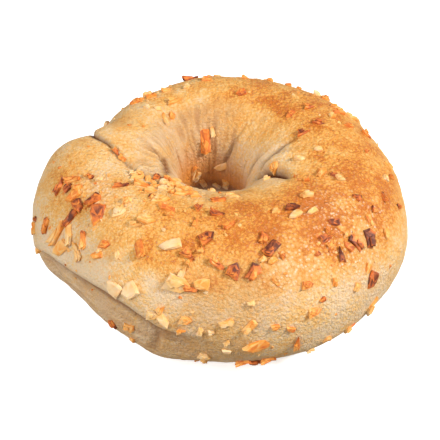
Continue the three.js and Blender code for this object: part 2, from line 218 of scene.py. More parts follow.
FOLDS = [
    OVERLAP,
    OVERHANG,
    fold([(256, 3), (254, -10), (252.5, -28)], depth=0.8, width=1.5, lift=0.8, lift_reach=3.5,
         lean_reach=2.0, fade=(0.3, 0.4), dark=0.5),
    fold([(168, 116), (173.5, 124), (179.5, 130.5), (187, 135), (196.5, 138.5), (206, 141)],
         depth=1.4, width=0.6, lift=0.4, lean=0.4, fade=(0.5, 0.15), side=-1, dark=[0.2, 0.5, 1, 1]),
    fold([(56, 118), (61, 138), (67, 158), (72, 170), (75, 185)], depth=0.9, width=0.7, lift=0.2,
         fade=(0.7, 0.3), dark=0.5),
    fold([(24, 135), (19, 152), (14, 168), (12, 185)], depth=1.0, width=0.9, fade=(0.35, 0.3)),
    fold([(16, 100), (11, 118), (6, 131), (0, 141), (-6, 150)], depth=1.3, width=1.2,
         lift=0.6, lift_reach=5.0, lean=0.4, lean_reach=2.0),
    fold([(329, 108), (337, 119), (343, 130), (349, 140), (352, 155)], depth=2.6, width=1.4,
         lift=1.0, lift_reach=7.0, sink=0.6, sink_reach=5.0, lean=1.0, lean_reach=2.4,
         fade=(0.35, 0.2), side=-1, dark=1.0),
]
CURVE_STEPS = 8
AGREE_FROM, AGREE_OVER = -0.1, 0.6
BLEND_AREA = 30.0


def trace_route(route):
    """A fold's route as short straight pieces on the rope."""
    corners = np.asarray(route, float)
    corners = np.vstack([2 * corners[0] - corners[1], corners, 2 * corners[-1] - corners[-2]])
    points = [
        catmull(*corners[i - 1:i + 3], step / CURVE_STEPS)
        for i in range(1, len(corners) - 2)
        for step in range(CURVE_STEPS)
    ]
    points = np.array(points + [corners[-2]])
    places = rope(points[:, 0], points[:, 1])
    normals = rope_normal(points[:, 0], points[:, 1])
    steps = places[1:] - places[:-1]
    lengths = np.linalg.norm(steps, axis=1)
    return places[:-1], steps / lengths[:, None], lengths, normals[:-1]


def size_at(size, share):
    """One size, or evenly spaced sizes along a route."""
    sizes = np.atleast_1d(size)
    return np.interp(share, np.linspace(0, 1, len(sizes)), sizes)


def fold_shift(points, normals, shape):
    """How far a fold moves each point, and how much painted shade its groove puts on each point."""
    starts, alongs, lengths, piece_normals = trace_route(shape["route"])
    walked = np.concatenate([[0.0], np.cumsum(lengths)])
    distances, shares, feet = [], [], []
    for start, along, length, before in zip(starts, alongs, lengths, walked):
        step = np.clip((points - start) @ along, 0.0, length)
        foot = start + step[:, None] * along
        distances.append(np.linalg.norm(points - foot, axis=1))
        shares.append((before + step) / walked[-1])
        feet.append(foot)
    distances, shares, feet = np.array(distances), np.array(shares), np.array(feet)
    nearest = distances.argmin(0)
    each = np.arange(len(points))
    reach, share, foot = distances.min(0), shares[nearest, each], feet[nearest, each]
    weights = np.exp((reach ** 2 - distances ** 2) / BLEND_AREA)
    soft_share = (weights * shares).sum(0) / weights.sum(0)
    agree = smooth(((normals * piece_normals[nearest]).sum(1) - AGREE_FROM) / AGREE_OVER)
    side = unit(np.cross(normals, alongs[nearest])) * shape["side"]
    signed = np.sign(((points - foot) * side).sum(1)) * reach
    fade = smooth(share / shape["fade"][0]) * smooth((1 - share) / shape["fade"][1]) * agree
    groove = np.exp(-((signed / shape["width"]) ** 2))
    swollen = size_at(shape["lift"], soft_share) * (1 - np.exp(-((signed / shape["rise"]) ** 2)))
    swollen *= np.exp(-((signed / shape["lift_reach"]) ** 2))
    sunken = -shape["sink"] * (1 - groove) * np.exp(-((signed / shape["sink_reach"]) ** 2))
    raised = np.where(signed > 0, swollen, sunken) - shape["depth"] * groove
    lip = 1 - np.exp(-((signed / (0.5 * shape["width"])) ** 2))
    lip *= np.exp(-((signed / shape["lean_reach"]) ** 2))
    lean = np.where(signed > 0, size_at(shape["lean"], soft_share) * lip, 0.0)
    # Painted shade in the groove, as strong as the fold's dark size.
    shade = fade * groove * size_at(shape["dark"], share)
    return fade[:, None] * (normals * raised[:, None] - side * lean[:, None]), shade


def dough_points(bearing, slope):
    """Points on the folded dough, and how much painted shade its folds put on each one."""
    points = rope(bearing, slope)
    normals = rope_normal(bearing, slope)
    places = points.copy()
    for at_bearing, at_slope, height, reach in SWELLINGS:
        gap = np.linalg.norm(points - rope(float(at_bearing), float(at_slope)), axis=1)
        places += normals * (height * np.exp(-((gap / reach) ** 2)))[:, None]
    painted_deep_shade = np.zeros(len(points))
    for shape in FOLDS:
        shift, shade = fold_shift(points, normals, shape)
        places += shift
        painted_deep_shade = np.maximum(painted_deep_shade, shade)
    places[:, 2] = np.maximum(places[:, 2], 0.0)
    return places, painted_deep_shade


print("folds:", len(FOLDS))

# %% [markdown]
# ## A mesh that follows the folds
# The dough is a grid of columns round the ring and rows round the rope. A groove that crosses a
# grid at a slant turns into a saw edge, so the columns lean with the overlap and the rows dip with
# the overhang, and both stand closer together there.

# %% The dough's grid
COLUMNS, ROWS = 462, 212
OVERLAP_FOOT = 157.0
OVERLAP_TOP = (182.0, 92.0)
OVERLAP_SPREAD = 70.0
OVERHANG_SPREAD = 52.0
FOOT_INNER_EDGE = 244.0


def along_route(route, value, given, wanted):
    """The value of a route's one angle at its other, held at the ends."""
    points = np.array(route)
    return np.interp(value, points[:, given], points[:, wanted])


def crossing(column, row):
    """The bearing and slope where a column crosses a row."""
    top_bearing, top_slope = OVERLAP_TOP
    low = along_route(OVERLAP["route"][:7], np.minimum(row, top_slope), 1, 0) - OVERLAP_FOOT
    back = smooth((FOOT_INNER_EDGE - row) / (FOOT_INNER_EDGE - top_slope))
    lean = np.where(row > top_slope, (top_bearing - OVERLAP_FOOT) * back, low)
    offset = np.mod(column - OVERLAP_FOOT + 180.0, 360.0) - 180.0
    bearing = column + lean * smooth(1 - np.abs(offset) / OVERLAP_SPREAD)
    first, last = OVERHANG["route"][0][0], OVERHANG["route"][-1][0]
    beyond = np.maximum(np.maximum(first - bearing, bearing - last), 0.0)
    dip = along_route(OVERHANG["route"], bearing, 0, 1) * smooth(1 - beyond / OVERHANG_SPREAD)
    slope = row + dip * smooth(1 - np.abs(row) / OVERHANG_SPREAD)
    return bearing, slope


def close_by(count, start, place, share, reach):
    """Evenly counted angles round a circle, closer together beside one place."""
    fine = np.linspace(start, start + 360.0, 3601)
    density = 1 + share * np.exp(-(((np.mod(fine - place + 180, 360) - 180) / reach) ** 2))
    counted = np.concatenate([[0.0], np.cumsum((density[1:] + density[:-1]) / 2)])
    return np.interp(np.arange(count) / count * counted[-1], counted, fine)


columns = close_by(COLUMNS, OVERLAP_FOOT - 180.0, OVERLAP_FOOT, 0.8, 8.0)
rows = close_by(ROWS, -90.0, 0.0, 0.6, 9.0)
column_grid, row_grid = (grid.ravel() for grid in np.meshgrid(columns, rows, indexing="ij"))
bearing, slope = crossing(column_grid, row_grid)
places, painted_deep_shade = dough_points(bearing, slope)
print("points on the dough:", len(places))

# %% [markdown]
# ## The skin
# Up close the crust is never smooth. It has broad lumps, a tight pebbled skin, small round
# blisters where steam pushed it up, and fine stretch marks that run down into the hole. They are
# moved into the mesh, not only drawn, so that they catch the light from every side.

# %% Fine relief
LUMPS = (15.0, 0.34)
PEBBLES = (4.2, 0.15)
GRAIN = (2.1, 0.07)
STRETCH_MARKS = dict(round_ring=10.5, down=26.0, height=0.26)
BLISTERS = dict(cell=2.9, radius=0.62, height=0.22, share=0.55)
FOOT_KEPT_FLAT = 1.5


def grid_normals(points):
    """Outward normals of the closed grid."""
    net = points.reshape(COLUMNS, ROWS, 3)
    round_ring = np.roll(net, -1, 0) - np.roll(net, 1, 0)
    round_rope = np.roll(net, -1, 1) - np.roll(net, 1, 1)
    return unit(np.cross(round_ring, round_rope)).reshape(-1, 3)


def noise_at(points, size):
    """Soft noise between -1 and 1, with features of the given size."""
    return np.array([noise.noise(point) for point in (points / size).tolist()])


def blister_domes(points):
    """Round domes in some of the cells that fill the skin."""
    domes = []
    for point in (points / BLISTERS["cell"]).tolist():
        distances, centres = noise.voronoi(point)
        chance = noise.cell(centres[0] * 7.3)
        domes.append((max(0.0, 1 - distances[0] / BLISTERS["radius"]), chance))
    domes = np.array(domes)
    return smooth(domes[:, 0]) * (domes[:, 1] > 1 - 2 * BLISTERS["share"])


normals = grid_normals(places)
facing_up = normals[:, 2]
wall = smooth((slope - 96) / 26) * smooth((214 - slope) / 34)
turn = np.radians(bearing)
stretch_place = np.stack([
    STRETCH_MARKS["round_ring"] * np.cos(turn),
    STRETCH_MARKS["round_ring"] * np.sin(turn),
    slope / STRETCH_MARKS["down"],
], -1)
stretch = 1 - 2 * np.abs(noise_at(stretch_place, 1.0))
blisters = blister_domes(places)
right = smooth((places[:, 0] + 25) / 70)
top = smooth((facing_up + 0.15) / 0.8)
blister_share = np.clip(0.25 + 0.6 * top * (0.4 + right), 0, 1) * (1 - 0.8 * wall)
relief = (
    LUMPS[1] * noise_at(places, LUMPS[0])
    + PEBBLES[1] * noise_at(places, PEBBLES[0])
    + GRAIN[1] * noise_at(places, GRAIN[0])
    + STRETCH_MARKS["height"] * stretch * wall
    + BLISTERS["height"] * blisters * blister_share
)
relief *= smooth(places[:, 2] / FOOT_KEPT_FLAT)
places += normals * relief[:, None]
places[:, 2] = np.maximum(places[:, 2], 0.0)
print("relief, mm:", round(float(relief.min()), 2), "to", round(float(relief.max()), 2))

# %% [markdown]
# ## How brown each place is, and the painted light and shade
# An oven browns what faces up and stands proud, and leaves the sides, the folds and the wall of
# the hole pale. That depends on place, so it is worked out here once for every point and kept on
# the mesh as named values, which the material reads. Short lists round the ring say how golden
# the top is and how far down the gold reaches. What follows no rule, such as a darker spot, a
# dust of flour or a taut glossy patch, is a soft round mark, placed by where it shows in the
# picture. The flour on the lip and the knuckle is partly a painted highlight, and the glossy
# patches carry painted glints. Painted shade goes on the wall of the hole, under the overhang, on
# some patches, and in the deep places: the folds, the line where the overhang rests on the rope
# below it, and the bottom of the hole. Low in the hole the shade is painted warm.

# %% Browning values, and painted light and shade
GOLDEN_ON_TOP = [0.84, 0.77, 0.58, 0.4, 0.42, 0.46, 0.7, 0.88]
GOLDEN_DOWN_TO = [-0.4, -0.4, -0.2, 0.0, 0.1, 0.4, 0.35, 0.15]
GOLDEN_BELOW = [0.12, 0.1, 0.08, 0.06, 0.05, 0.06, 0.28, 0.18]
PALE_WALL = [0.8, 0.75, 0.45, 0.4, 0.4, 0.45, 0.5, 0.7]
WALL_SHADE = [0.1, 0.25, 0.95, 0.8, 0.6, 0.5, 0.3, 0.2]
FACES_UP = 0.95
MARKS = dict(  # across, down, reach in mm
    browned=[
        (300, 212, 10), (322, 218, 8), (240, 212, 9), (386, 190, 7), (175, 238, 9), (245, 112, 9),
        (272, 124, 8), (64, 194, 8),
    ],
    pale=[(322, 178, 7), (288, 274, 8), (320, 276, 8), (366, 232, 6)],
    # Painted shade:
    shaded=[(205, 306, 12), (245, 300, 11), (172, 166, 6), (200, 352, 8), (235, 354, 8)],
    # Painted shade along a crease in the wall of the hole:
    creased=[(164, 161, 0.9), (165, 165, 1.0), (166, 169, 1.1), (167, 173, 1.2)],
    # Flour dust, partly a painted highlight on the lip and the knuckle:
    flour_and_painted_highlight=[
        (154, 333, 2.6), (160, 300, 3), (152, 282, 2.4), (60, 258, 3), (100, 268, 4), (178, 300, 3),
    ],
    # Taut smooth skin, with painted glints:
    gloss_and_painted_glints=[
        (338, 228, 11), (300, 262, 10), (355, 262, 9), (282, 278, 8), (366, 226, 8), (100, 190, 5),
    ],
)
MARK_STRENGTH = dict(browned=0.27, pale=0.25, shaded=0.45, creased=0.9, flour_and_painted_highlight=0.5, gloss_and_painted_glints=1.0)
# Painted shade in the hole: warm low down, darker at the bottom.
HOLLOW = dict(within=21, soft_edge=9, top=26, higher_at_left=5, fade=15)
HOLLOW_LEFT = dict(start=95, grow=30, end=270, shrink=40)
HOLE_BOTTOM = dict(top=13.5, fade=4, strength=0.55)
# Painted shade along the line where the overhang rests, and streaks in the shade under it.
CONTACT_STRENGTH = 0.65
STREAKS = dict(round_ring=0.09, down=0.6)

_, _, across_view, down_view = in_view(places)
toward_camera = smooth((normals * unit(eye - places)).sum(1) / 0.3)


def marks_in_view(name):
    """Soft round marks, placed by where they show in the picture."""
    share = np.zeros(len(places))
    for x, y, reach in MARKS[name]:
        gap = np.hypot(across_view - x, down_view - y) / VIEW_SCALE
        share = np.maximum(share, toward_camera * np.exp(-((gap / reach) ** 2)))
    return MARK_STRENGTH[name] * share


down_to = around(GOLDEN_DOWN_TO, bearing)
golden = around(GOLDEN_ON_TOP, bearing) * smooth((facing_up - down_to) / (FACES_UP - down_to))
golden = np.maximum(golden, around(GOLDEN_BELOW, bearing)) * (1 - around(PALE_WALL, bearing) * wall)

# A warm painted shade low in the hole, and a darker painted shade at its bottom.
plan_radius = np.hypot(places[:, 0], places[:, 1])
inside_hole = smooth((HOLLOW["within"] - plan_radius) / HOLLOW["soft_edge"])
at_left = smooth((bearing - HOLLOW_LEFT["start"]) / HOLLOW_LEFT["grow"])
at_left *= smooth((HOLLOW_LEFT["end"] - bearing) / HOLLOW_LEFT["shrink"])
hollow_top = HOLLOW["top"] + HOLLOW["higher_at_left"] * at_left
hollow = inside_hole * smooth((hollow_top - places[:, 2]) / HOLLOW["fade"])
hole_bottom = inside_hole * smooth((HOLE_BOTTOM["top"] - places[:, 2]) / HOLE_BOTTOM["fade"])

# Painted shade under the overhang, darkest along the line where it rests on the rope below.
overhang_slope = along_route(OVERHANG["route"], bearing, 0, 1)
below = np.mod(overhang_slope - slope + 180, 360) - 180
beside = np.abs(bearing - (OVERHANG["route"][0][0] + OVERHANG["route"][-1][0]) / 2)
under_overhang = smooth(below / 6) * smooth((62 - below) / 20) * smooth((44 - beside) / 12)
contact = smooth((below + 1.5) / 2) * (1 - smooth((below - 11) / 5)) * smooth((36 - beside) / 20)
streak_place = [bearing * STREAKS["round_ring"], slope * STREAKS["down"], np.zeros(len(slope))]
streaks = noise_at(np.stack(streak_place, -1), 1.0)

# Painted shade in the deep places: the folds, that line, the bottom of the hole, a wall crease.
deep_places = [
    painted_deep_shade,
    CONTACT_STRENGTH * contact,
    HOLE_BOTTOM["strength"] * hole_bottom,
    marks_in_view("creased"),
]
# Painted shade on the wall of the hole, streaked, under the overhang and on some patches.
shaded_places = [
    wall * np.clip(around(WALL_SHADE, bearing) - 0.5 * stretch, 0, 0.95),
    under_overhang * np.clip(0.45 - 0.7 * streaks, 0, 1),
    marks_in_view("shaded"),
]
browning_and_painted_light = {
    "golden": np.clip(golden + marks_in_view("browned") - marks_in_view("pale"), 0, 1),
    "painted_deep_shade": np.clip(np.maximum.reduce(deep_places), 0, 1),
    "hollow": hollow,
    "blister": blisters * blister_share,
    "shaded": np.maximum.reduce(shaded_places),
    "flour_and_painted_highlight": marks_in_view("flour_and_painted_highlight"),
    "gloss_and_painted_glints": marks_in_view("gloss_and_painted_glints"),
}
print({name: round(float(values.mean()), 3) for name, values in browning_and_painted_light.items()})

# %% The dough's mesh
def add_object(name, mesh):
    made = bpy.data.objects.new(name, mesh)
    bpy.context.scene.collection.objects.link(made)
    return made


def put_values(mesh, name, kind, values, domain="POINT"):
    """Named values on a mesh, one for each point or face."""
    layer = mesh.attributes.new(name, kind, domain)
    key = "vector" if kind == "FLOAT_VECTOR" else "value"
    layer.data.foreach_set(key, np.array(values).ravel())


index = np.arange(COLUMNS * ROWS).reshape(COLUMNS, ROWS)
beyond_column = np.roll(index, -1, 0)
faces = np.stack([index, beyond_column, np.roll(beyond_column, -1, 1), np.roll(index, -1, 1)], -1)
dough_mesh = bpy.data.meshes.new("dough")
dough_mesh.from_pydata(((places + HOLE_CENTRE) * MM).tolist(), [], faces.reshape(-1, 4).tolist())
dough_mesh.polygons.foreach_set("use_smooth", [True] * len(dough_mesh.polygons))
for name, values in browning_and_painted_light.items():
    put_values(dough_mesh, name, "FLOAT", values)
dough_mesh.update()
dough = add_object("dough", dough_mesh)
print("dough faces:", len(dough_mesh.polygons))

# %% [markdown]
# ## A baked pattern for every material
# Dough and onion brown in the same way: in broad patches, with a tight round grain and fine specks
# over them. Noise gives the patches and the specks. The grain is a Voronoi texture turned over, so
# that each of its cells is a small dome, as real skin is. The pattern is a node group with its own
# inputs, built once and placed in each material with its own sizes.

# %% The shared pattern
def linear(colour):
    """A screen colour, 0 to 255, as the linear values that Blender's shaders use."""
    shares = [channel / 255 for channel in colour]
    return [s / 12.92 if s <= 0.04045 else ((s + 0.055) / 1.055) ** 2.4 for s in shares] + [1.0]


def add_node(tree, kind, values=None, **settings):
    """A node with its settings, and its inputs given as values or as other nodes' outputs."""
    made = tree.nodes.new(kind)
    for key, value in settings.items():
        setattr(made, key, value)
    for key, value in (values or {}).items():
        if isinstance(value, bpy.types.NodeSocket):
            tree.links.new(value, made.inputs[key])
        else:
            made.inputs[key].default_value = value
    return made


def math_node(tree, operation, a, b, clamp=False):
    """One sum on two numbers or sockets."""
    made = add_node(tree, "ShaderNodeMath", {0: a, 1: b}, operation=operation, use_clamp=clamp)
    return made.outputs[0]


def around_zero(tree, value, strength):
    """A pattern between 0 and 1 as a change up or down."""
    return math_node(tree, "MULTIPLY", math_node(tree, "SUBTRACT", value, 0.5), strength)


def colour_ramp(tree, value, stops):
    """A ramp from (position, screen colour) stops."""
    made = add_node(tree, "ShaderNodeValToRGB", {"Fac": value})
    elements = made.color_ramp.elements
    while len(elements) < len(stops):
        elements.new(0.5)
    for element, (position, colour) in zip(elements, stops):
        element.position = position
        element.color = linear(colour)
    return made.outputs["Color"]


def mix_colour(tree, share, first, second, blend="MIX"):
    """One colour over another."""
    made = tree.nodes.new("ShaderNodeMix")
    made.data_type = "RGBA"
    made.blend_type = blend
    for socket, value in zip((made.inputs[0], made.inputs[6], made.inputs[7]), (share, first, second)):
        if isinstance(value, bpy.types.NodeSocket):
            tree.links.new(value, socket)
        else:
            socket.default_value = value
    return made.outputs[2]


PEBBLES_PER_SPECK = 0.6


def build_baked_pattern():
    tree = bpy.data.node_groups.new("baked_pattern", "ShaderNodeTree")
    for name, default in (("Patch Scale", 80.0), ("Speck Scale", 420.0)):
        socket = tree.interface.new_socket(name, in_out="INPUT", socket_type="NodeSocketFloat")
        socket.default_value = default
    for name in ("Patches", "Pebbles", "Specks"):
        tree.interface.new_socket(name, in_out="OUTPUT", socket_type="NodeSocketFloat")
    given = tree.nodes.new("NodeGroupInput").outputs
    result = tree.nodes.new("NodeGroupOutput").inputs
    place = tree.nodes.new("ShaderNodeTexCoord").outputs["Object"]
    patches = add_node(
        tree, "ShaderNodeTexNoise", {"Vector": place, "Scale": given["Patch Scale"], "Detail": 2.0})
    specks = add_node(
        tree, "ShaderNodeTexNoise",
        {"Vector": place, "Scale": given["Speck Scale"], "Detail": 3.0, "Roughness": 0.65})
    pebble_scale = math_node(tree, "MULTIPLY", given["Speck Scale"], PEBBLES_PER_SPECK)
    pebbles = add_node(tree, "ShaderNodeTexVoronoi", {"Vector": place, "Scale": pebble_scale})
    domes = math_node(tree, "SUBTRACT", 1.0, pebbles.outputs["Distance"])
    tree.links.new(patches.outputs["Fac"], result["Patches"])
    tree.links.new(domes, result["Pebbles"])
    tree.links.new(specks.outputs["Fac"], result["Specks"])
    return tree


baked_pattern = build_baked_pattern()
print("pattern outputs:", [item.name for item in baked_pattern.interface.items_tree])

# %% [markdown]
# ## The crust's material
# A ramp runs from pale dough to deep brown. What goes into it is the mesh's own browning value,
# broken up by the pattern, so the colour changes in soft patches and fine specks. Blisters are a
# little paler than the skin round them, and in the taut glossy patches painted glints show between
# the brown. Painted shade from the mesh's values lies over the colour, and the flour on the lip is
# partly a painted highlight. Browned skin is a little glossier than pale skin, because it is drier.

# %% Crust
def new_material(name):
    material = bpy.data.materials.new(name)
    material.use_nodes = True
    tree = material.node_tree
    shader = tree.nodes["Principled BSDF"]
    return material, tree, shader


def mesh_value(tree, name):
    return add_node(tree, "ShaderNodeAttribute", attribute_name=name).outputs["Fac"]


def share_between(tree, value, low, high, share=1.0):
    """Nothing below one value of a pattern, rising to a share at another."""
    made = add_node(
        tree, "ShaderNodeMapRange",
        {"Value": value, "From Min": low, "From Max": high, "To Max": share})
    return made.outputs[0]


CRUST_RAMP = [
    (0.0, (227, 197, 158)),
    (0.25, (230, 189, 131)),
    (0.5, (229, 173, 96)),
    (0.8, (220, 148, 60)),
    (1.0, (196, 109, 34)),
]
# Colours laid over the ramp: painted shade, flour with a painted highlight, gloss tint, glints.
SHADED_COLOUR = linear((186, 138, 90))
FOLD_SHADE_COLOUR = linear((106, 50, 14))
HOLLOW_SHADE_COLOUR = linear((216, 130, 36))
FLOUR_COLOUR = linear((238, 214, 182))
GLOSS_COLOUR = linear((206, 134, 84))
GLINT_PAINT_COLOUR = linear((248, 228, 200))
CRUST_SCALES = {"Patch Scale": 140.0, "Speck Scale": 1500.0}
CRUST_MOTTLE = {"Patches": 1.1, "Pebbles": -0.35, "Specks": 1.7}
BLISTER_BROWNING = -0.22
FLOUR_SPECKS = (0.58, 0.72, 0.3)
GLINT_DOMES = (0.55, 0.78, 0.75)
GLINT_BREAKS = (0.44, 0.56)
GLOSS_TINT, GLOSS_SMOOTHNESS = 0.25, 0.22
HOLLOW_STRENGTH = 0.85
PALE_ROUGHNESS, BROWN_ROUGHNESS = 0.6, 0.4
PEBBLE_HEIGHT, SKIN_DEPTH = 0.45, 0.0009


def make_crust():
    material, tree, shader = new_material("crust")
    pattern = add_node(tree, "ShaderNodeGroup", CRUST_SCALES, node_tree=baked_pattern).outputs
    mottled = mesh_value(tree, "golden")
    for name, strength in CRUST_MOTTLE.items():
        mottled = math_node(tree, "ADD", mottled, around_zero(tree, pattern[name], strength))
    blistered = math_node(tree, "MULTIPLY", mesh_value(tree, "blister"), BLISTER_BROWNING)
    mottled = math_node(tree, "ADD", mottled, blistered, clamp=True)
    gloss_and_painted_glints = mesh_value(tree, "gloss_and_painted_glints")
    # Painted glints: light specks in the glossy patches.
    painted_glints = share_between(tree, pattern["Pebbles"], *GLINT_DOMES)
    breaks = share_between(tree, pattern["Specks"], *GLINT_BREAKS)
    painted_glints = math_node(tree, "MULTIPLY", math_node(tree, "MULTIPLY", painted_glints, breaks), gloss_and_painted_glints)
    flour = share_between(tree, pattern["Specks"], *FLOUR_SPECKS)
    # Over the ramp: flour dust with a painted highlight, gloss tint, painted glints and painted shade.
    layers = [
        (math_node(tree, "MAXIMUM", flour, mesh_value(tree, "flour_and_painted_highlight")), FLOUR_COLOUR),
        (math_node(tree, "MULTIPLY", gloss_and_painted_glints, GLOSS_TINT), GLOSS_COLOUR),
        (painted_glints, GLINT_PAINT_COLOUR),
        (mesh_value(tree, "shaded"), SHADED_COLOUR),
        (math_node(tree, "MULTIPLY", mesh_value(tree, "hollow"), HOLLOW_STRENGTH), HOLLOW_SHADE_COLOUR),
        (mesh_value(tree, "painted_deep_shade"), FOLD_SHADE_COLOUR),
    ]
    colour = colour_ramp(tree, mottled, CRUST_RAMP)
    for share, layer_colour in layers:
        colour = mix_colour(tree, share, colour, layer_colour)
    tree.links.new(colour, shader.inputs["Base Color"])
    roughness = add_node(
        tree, "ShaderNodeMapRange",
        {"Value": mottled, "To Min": PALE_ROUGHNESS, "To Max": BROWN_ROUGHNESS})
    smoother = math_node(tree, "MULTIPLY", gloss_and_painted_glints, GLOSS_SMOOTHNESS)
    roughness = math_node(tree, "SUBTRACT", roughness.outputs[0], smoother)
    tree.links.new(roughness, shader.inputs["Roughness"])
    pebbles = math_node(tree, "MULTIPLY", pattern["Pebbles"], PEBBLE_HEIGHT)
    height = math_node(tree, "ADD", pebbles, pattern["Specks"])
    bump = add_node(
        tree, "ShaderNodeBump", {"Strength": 1.0, "Distance": SKIN_DEPTH, "Height": height})
    tree.links.new(bump.outputs["Normal"], shader.inputs["Normal"])
    shader.inputs["Specular IOR Level"].default_value = 0.22
    shader.inputs["Subsurface Weight"].default_value = 0.12
    shader.inputs["Subsurface Radius"].default_value = (0.0022, 0.0012, 0.0006)
    shader.inputs["Subsurface Scale"].default_value = 1.0
    return material


crust = make_crust()
dough_mesh.materials.append(crust)
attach(dough, "root")
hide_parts("bagel")
print("crust nodes:", len(crust.node_tree.nodes))

# %% [markdown]
# ## The onion's shapes
# Dried onion is chopped leaf: chips, shards, sticks and curls, no two alike. Six shapes are
# enough, because each one is then stretched, turned and coloured in its own way. Every shape is
# one unit long, wide and thick, so its size can be given in millimetres when it is placed.

# %% Flake shapes
def outline(kind, corner, corners, draw):
    """A corner of a flake's outline, in units: a box with broken corners and ragged sides."""
    turn = (corner + 0.5 * (draw() - 0.5)) / corners * 2 * math.pi
    x, y = math.cos(turn), math.sin(turn)
    reach = 0.5 * (1 + 0.24 * (draw() - 0.5) * 2) / max(abs(x), abs(y)) ** 0.75
    x, y = reach * x, reach * y
    if kind == "shard":
        y *= 0.72 - 0.8 * x
    if kind == "wedge":
        y *= 0.85 + 0.7 * x
    if kind == "stick":
        y *= 0.9 + 0.2 * draw()
    return x, y


def add_slab(kind, corners, draw, slab, points, faces):
    """One ragged slab: a ring of corners on every level, closed by a point above and below."""
    x_shift, y_shift, size, low, high = slab
    edge = [outline(kind, corner, corners, draw) for corner in range(corners)]
    start = len(points)
    levels = [(0.0, 0.88), (0.5, 1.0), (0.85, 0.95), (1.0, 0.7)]
    for level, spread in levels:
        for x, y in edge:
            ragged = size * spread * (1 + 0.18 * (draw() - 0.5))
            height = low + (high - low) * (level + 0.16 * (draw() - 0.5))
            points.append((x * ragged + x_shift, y * ragged + y_shift, height))
    points.append((x_shift, y_shift, low))
    points.append((x_shift + 0.2 * (draw() - 0.5), y_shift + 0.2 * (draw() - 0.5), high + 0.04))
    for level in range(len(levels) - 1):
        for corner in range(corners):
            a = start + level * corners + corner
            b = start + level * corners + (corner + 1) % corners
            faces.append((a, b, b + corners, a + corners))
    last = start + (len(levels) - 1) * corners
    for corner in range(corners):
        after = (corner + 1) % corners
        faces.append((start + after, start + corner, len(points) - 2))
        faces.append((last + corner, last + after, len(points) - 1))


def flake_shape(kind, corners, curl, layers, draw):
    """A broken piece of onion: a ragged slab, with smaller layers stuck to some of them."""
    points, faces = [], []
    add_slab(kind, corners, draw, (0.0, 0.0, 1.0, -0.5, 0.3), points, faces)
    for layer in range(layers):
        x_shift, y_shift = 0.44 * (draw() - 0.5), 0.4 * (draw() - 0.5)
        low = 0.1 - 0.5 * layer
        slab = (x_shift, y_shift, 0.62 - 0.12 * layer, low, 0.62 - 0.1 * layer)
        add_slab("chip", 5, draw, slab, points, faces)
    points = [(x, y, z + curl * (4 * x * x - 0.4)) for x, y, z in points]
    mesh = bpy.data.meshes.new("flake_" + kind)
    mesh.from_pydata(points, [], faces)
    put_values(mesh, "toward_tip", "FLOAT", [x + 0.5 for x, y, z in points])
    put_values(mesh, "facet", "FLOAT", [draw() - 0.5 for face in faces], "FACE")
    return mesh


def make_draw(seed):
    """Repeatable draws between 0 and 1, the same as in the solid model."""
    state = [seed]

    def draw():
        state[0] = (state[0] * 1664525 + 1013904223) % 4294967296
        return state[0] / 4294967296

    return draw


KINDS = [
    ("chip", 8, 0.0, 0), ("shard", 7, 0.12, 1), ("wedge", 8, -0.1, 1),
    ("stick", 8, 0.1, 1), ("curl", 9, 0.35, 1), ("block", 6, 0.0, 2),
]
shape_draw = make_draw(7)
flake_shapes = bpy.data.collections.new("flake_shapes")
for number, (kind, corners, curl, layers) in enumerate(KINDS):
    shape_mesh = flake_shape(kind, corners, curl, layers, shape_draw)
    shape = bpy.data.objects.new(f"shape_{number}_{kind}", shape_mesh)
    flake_shapes.objects.link(shape)
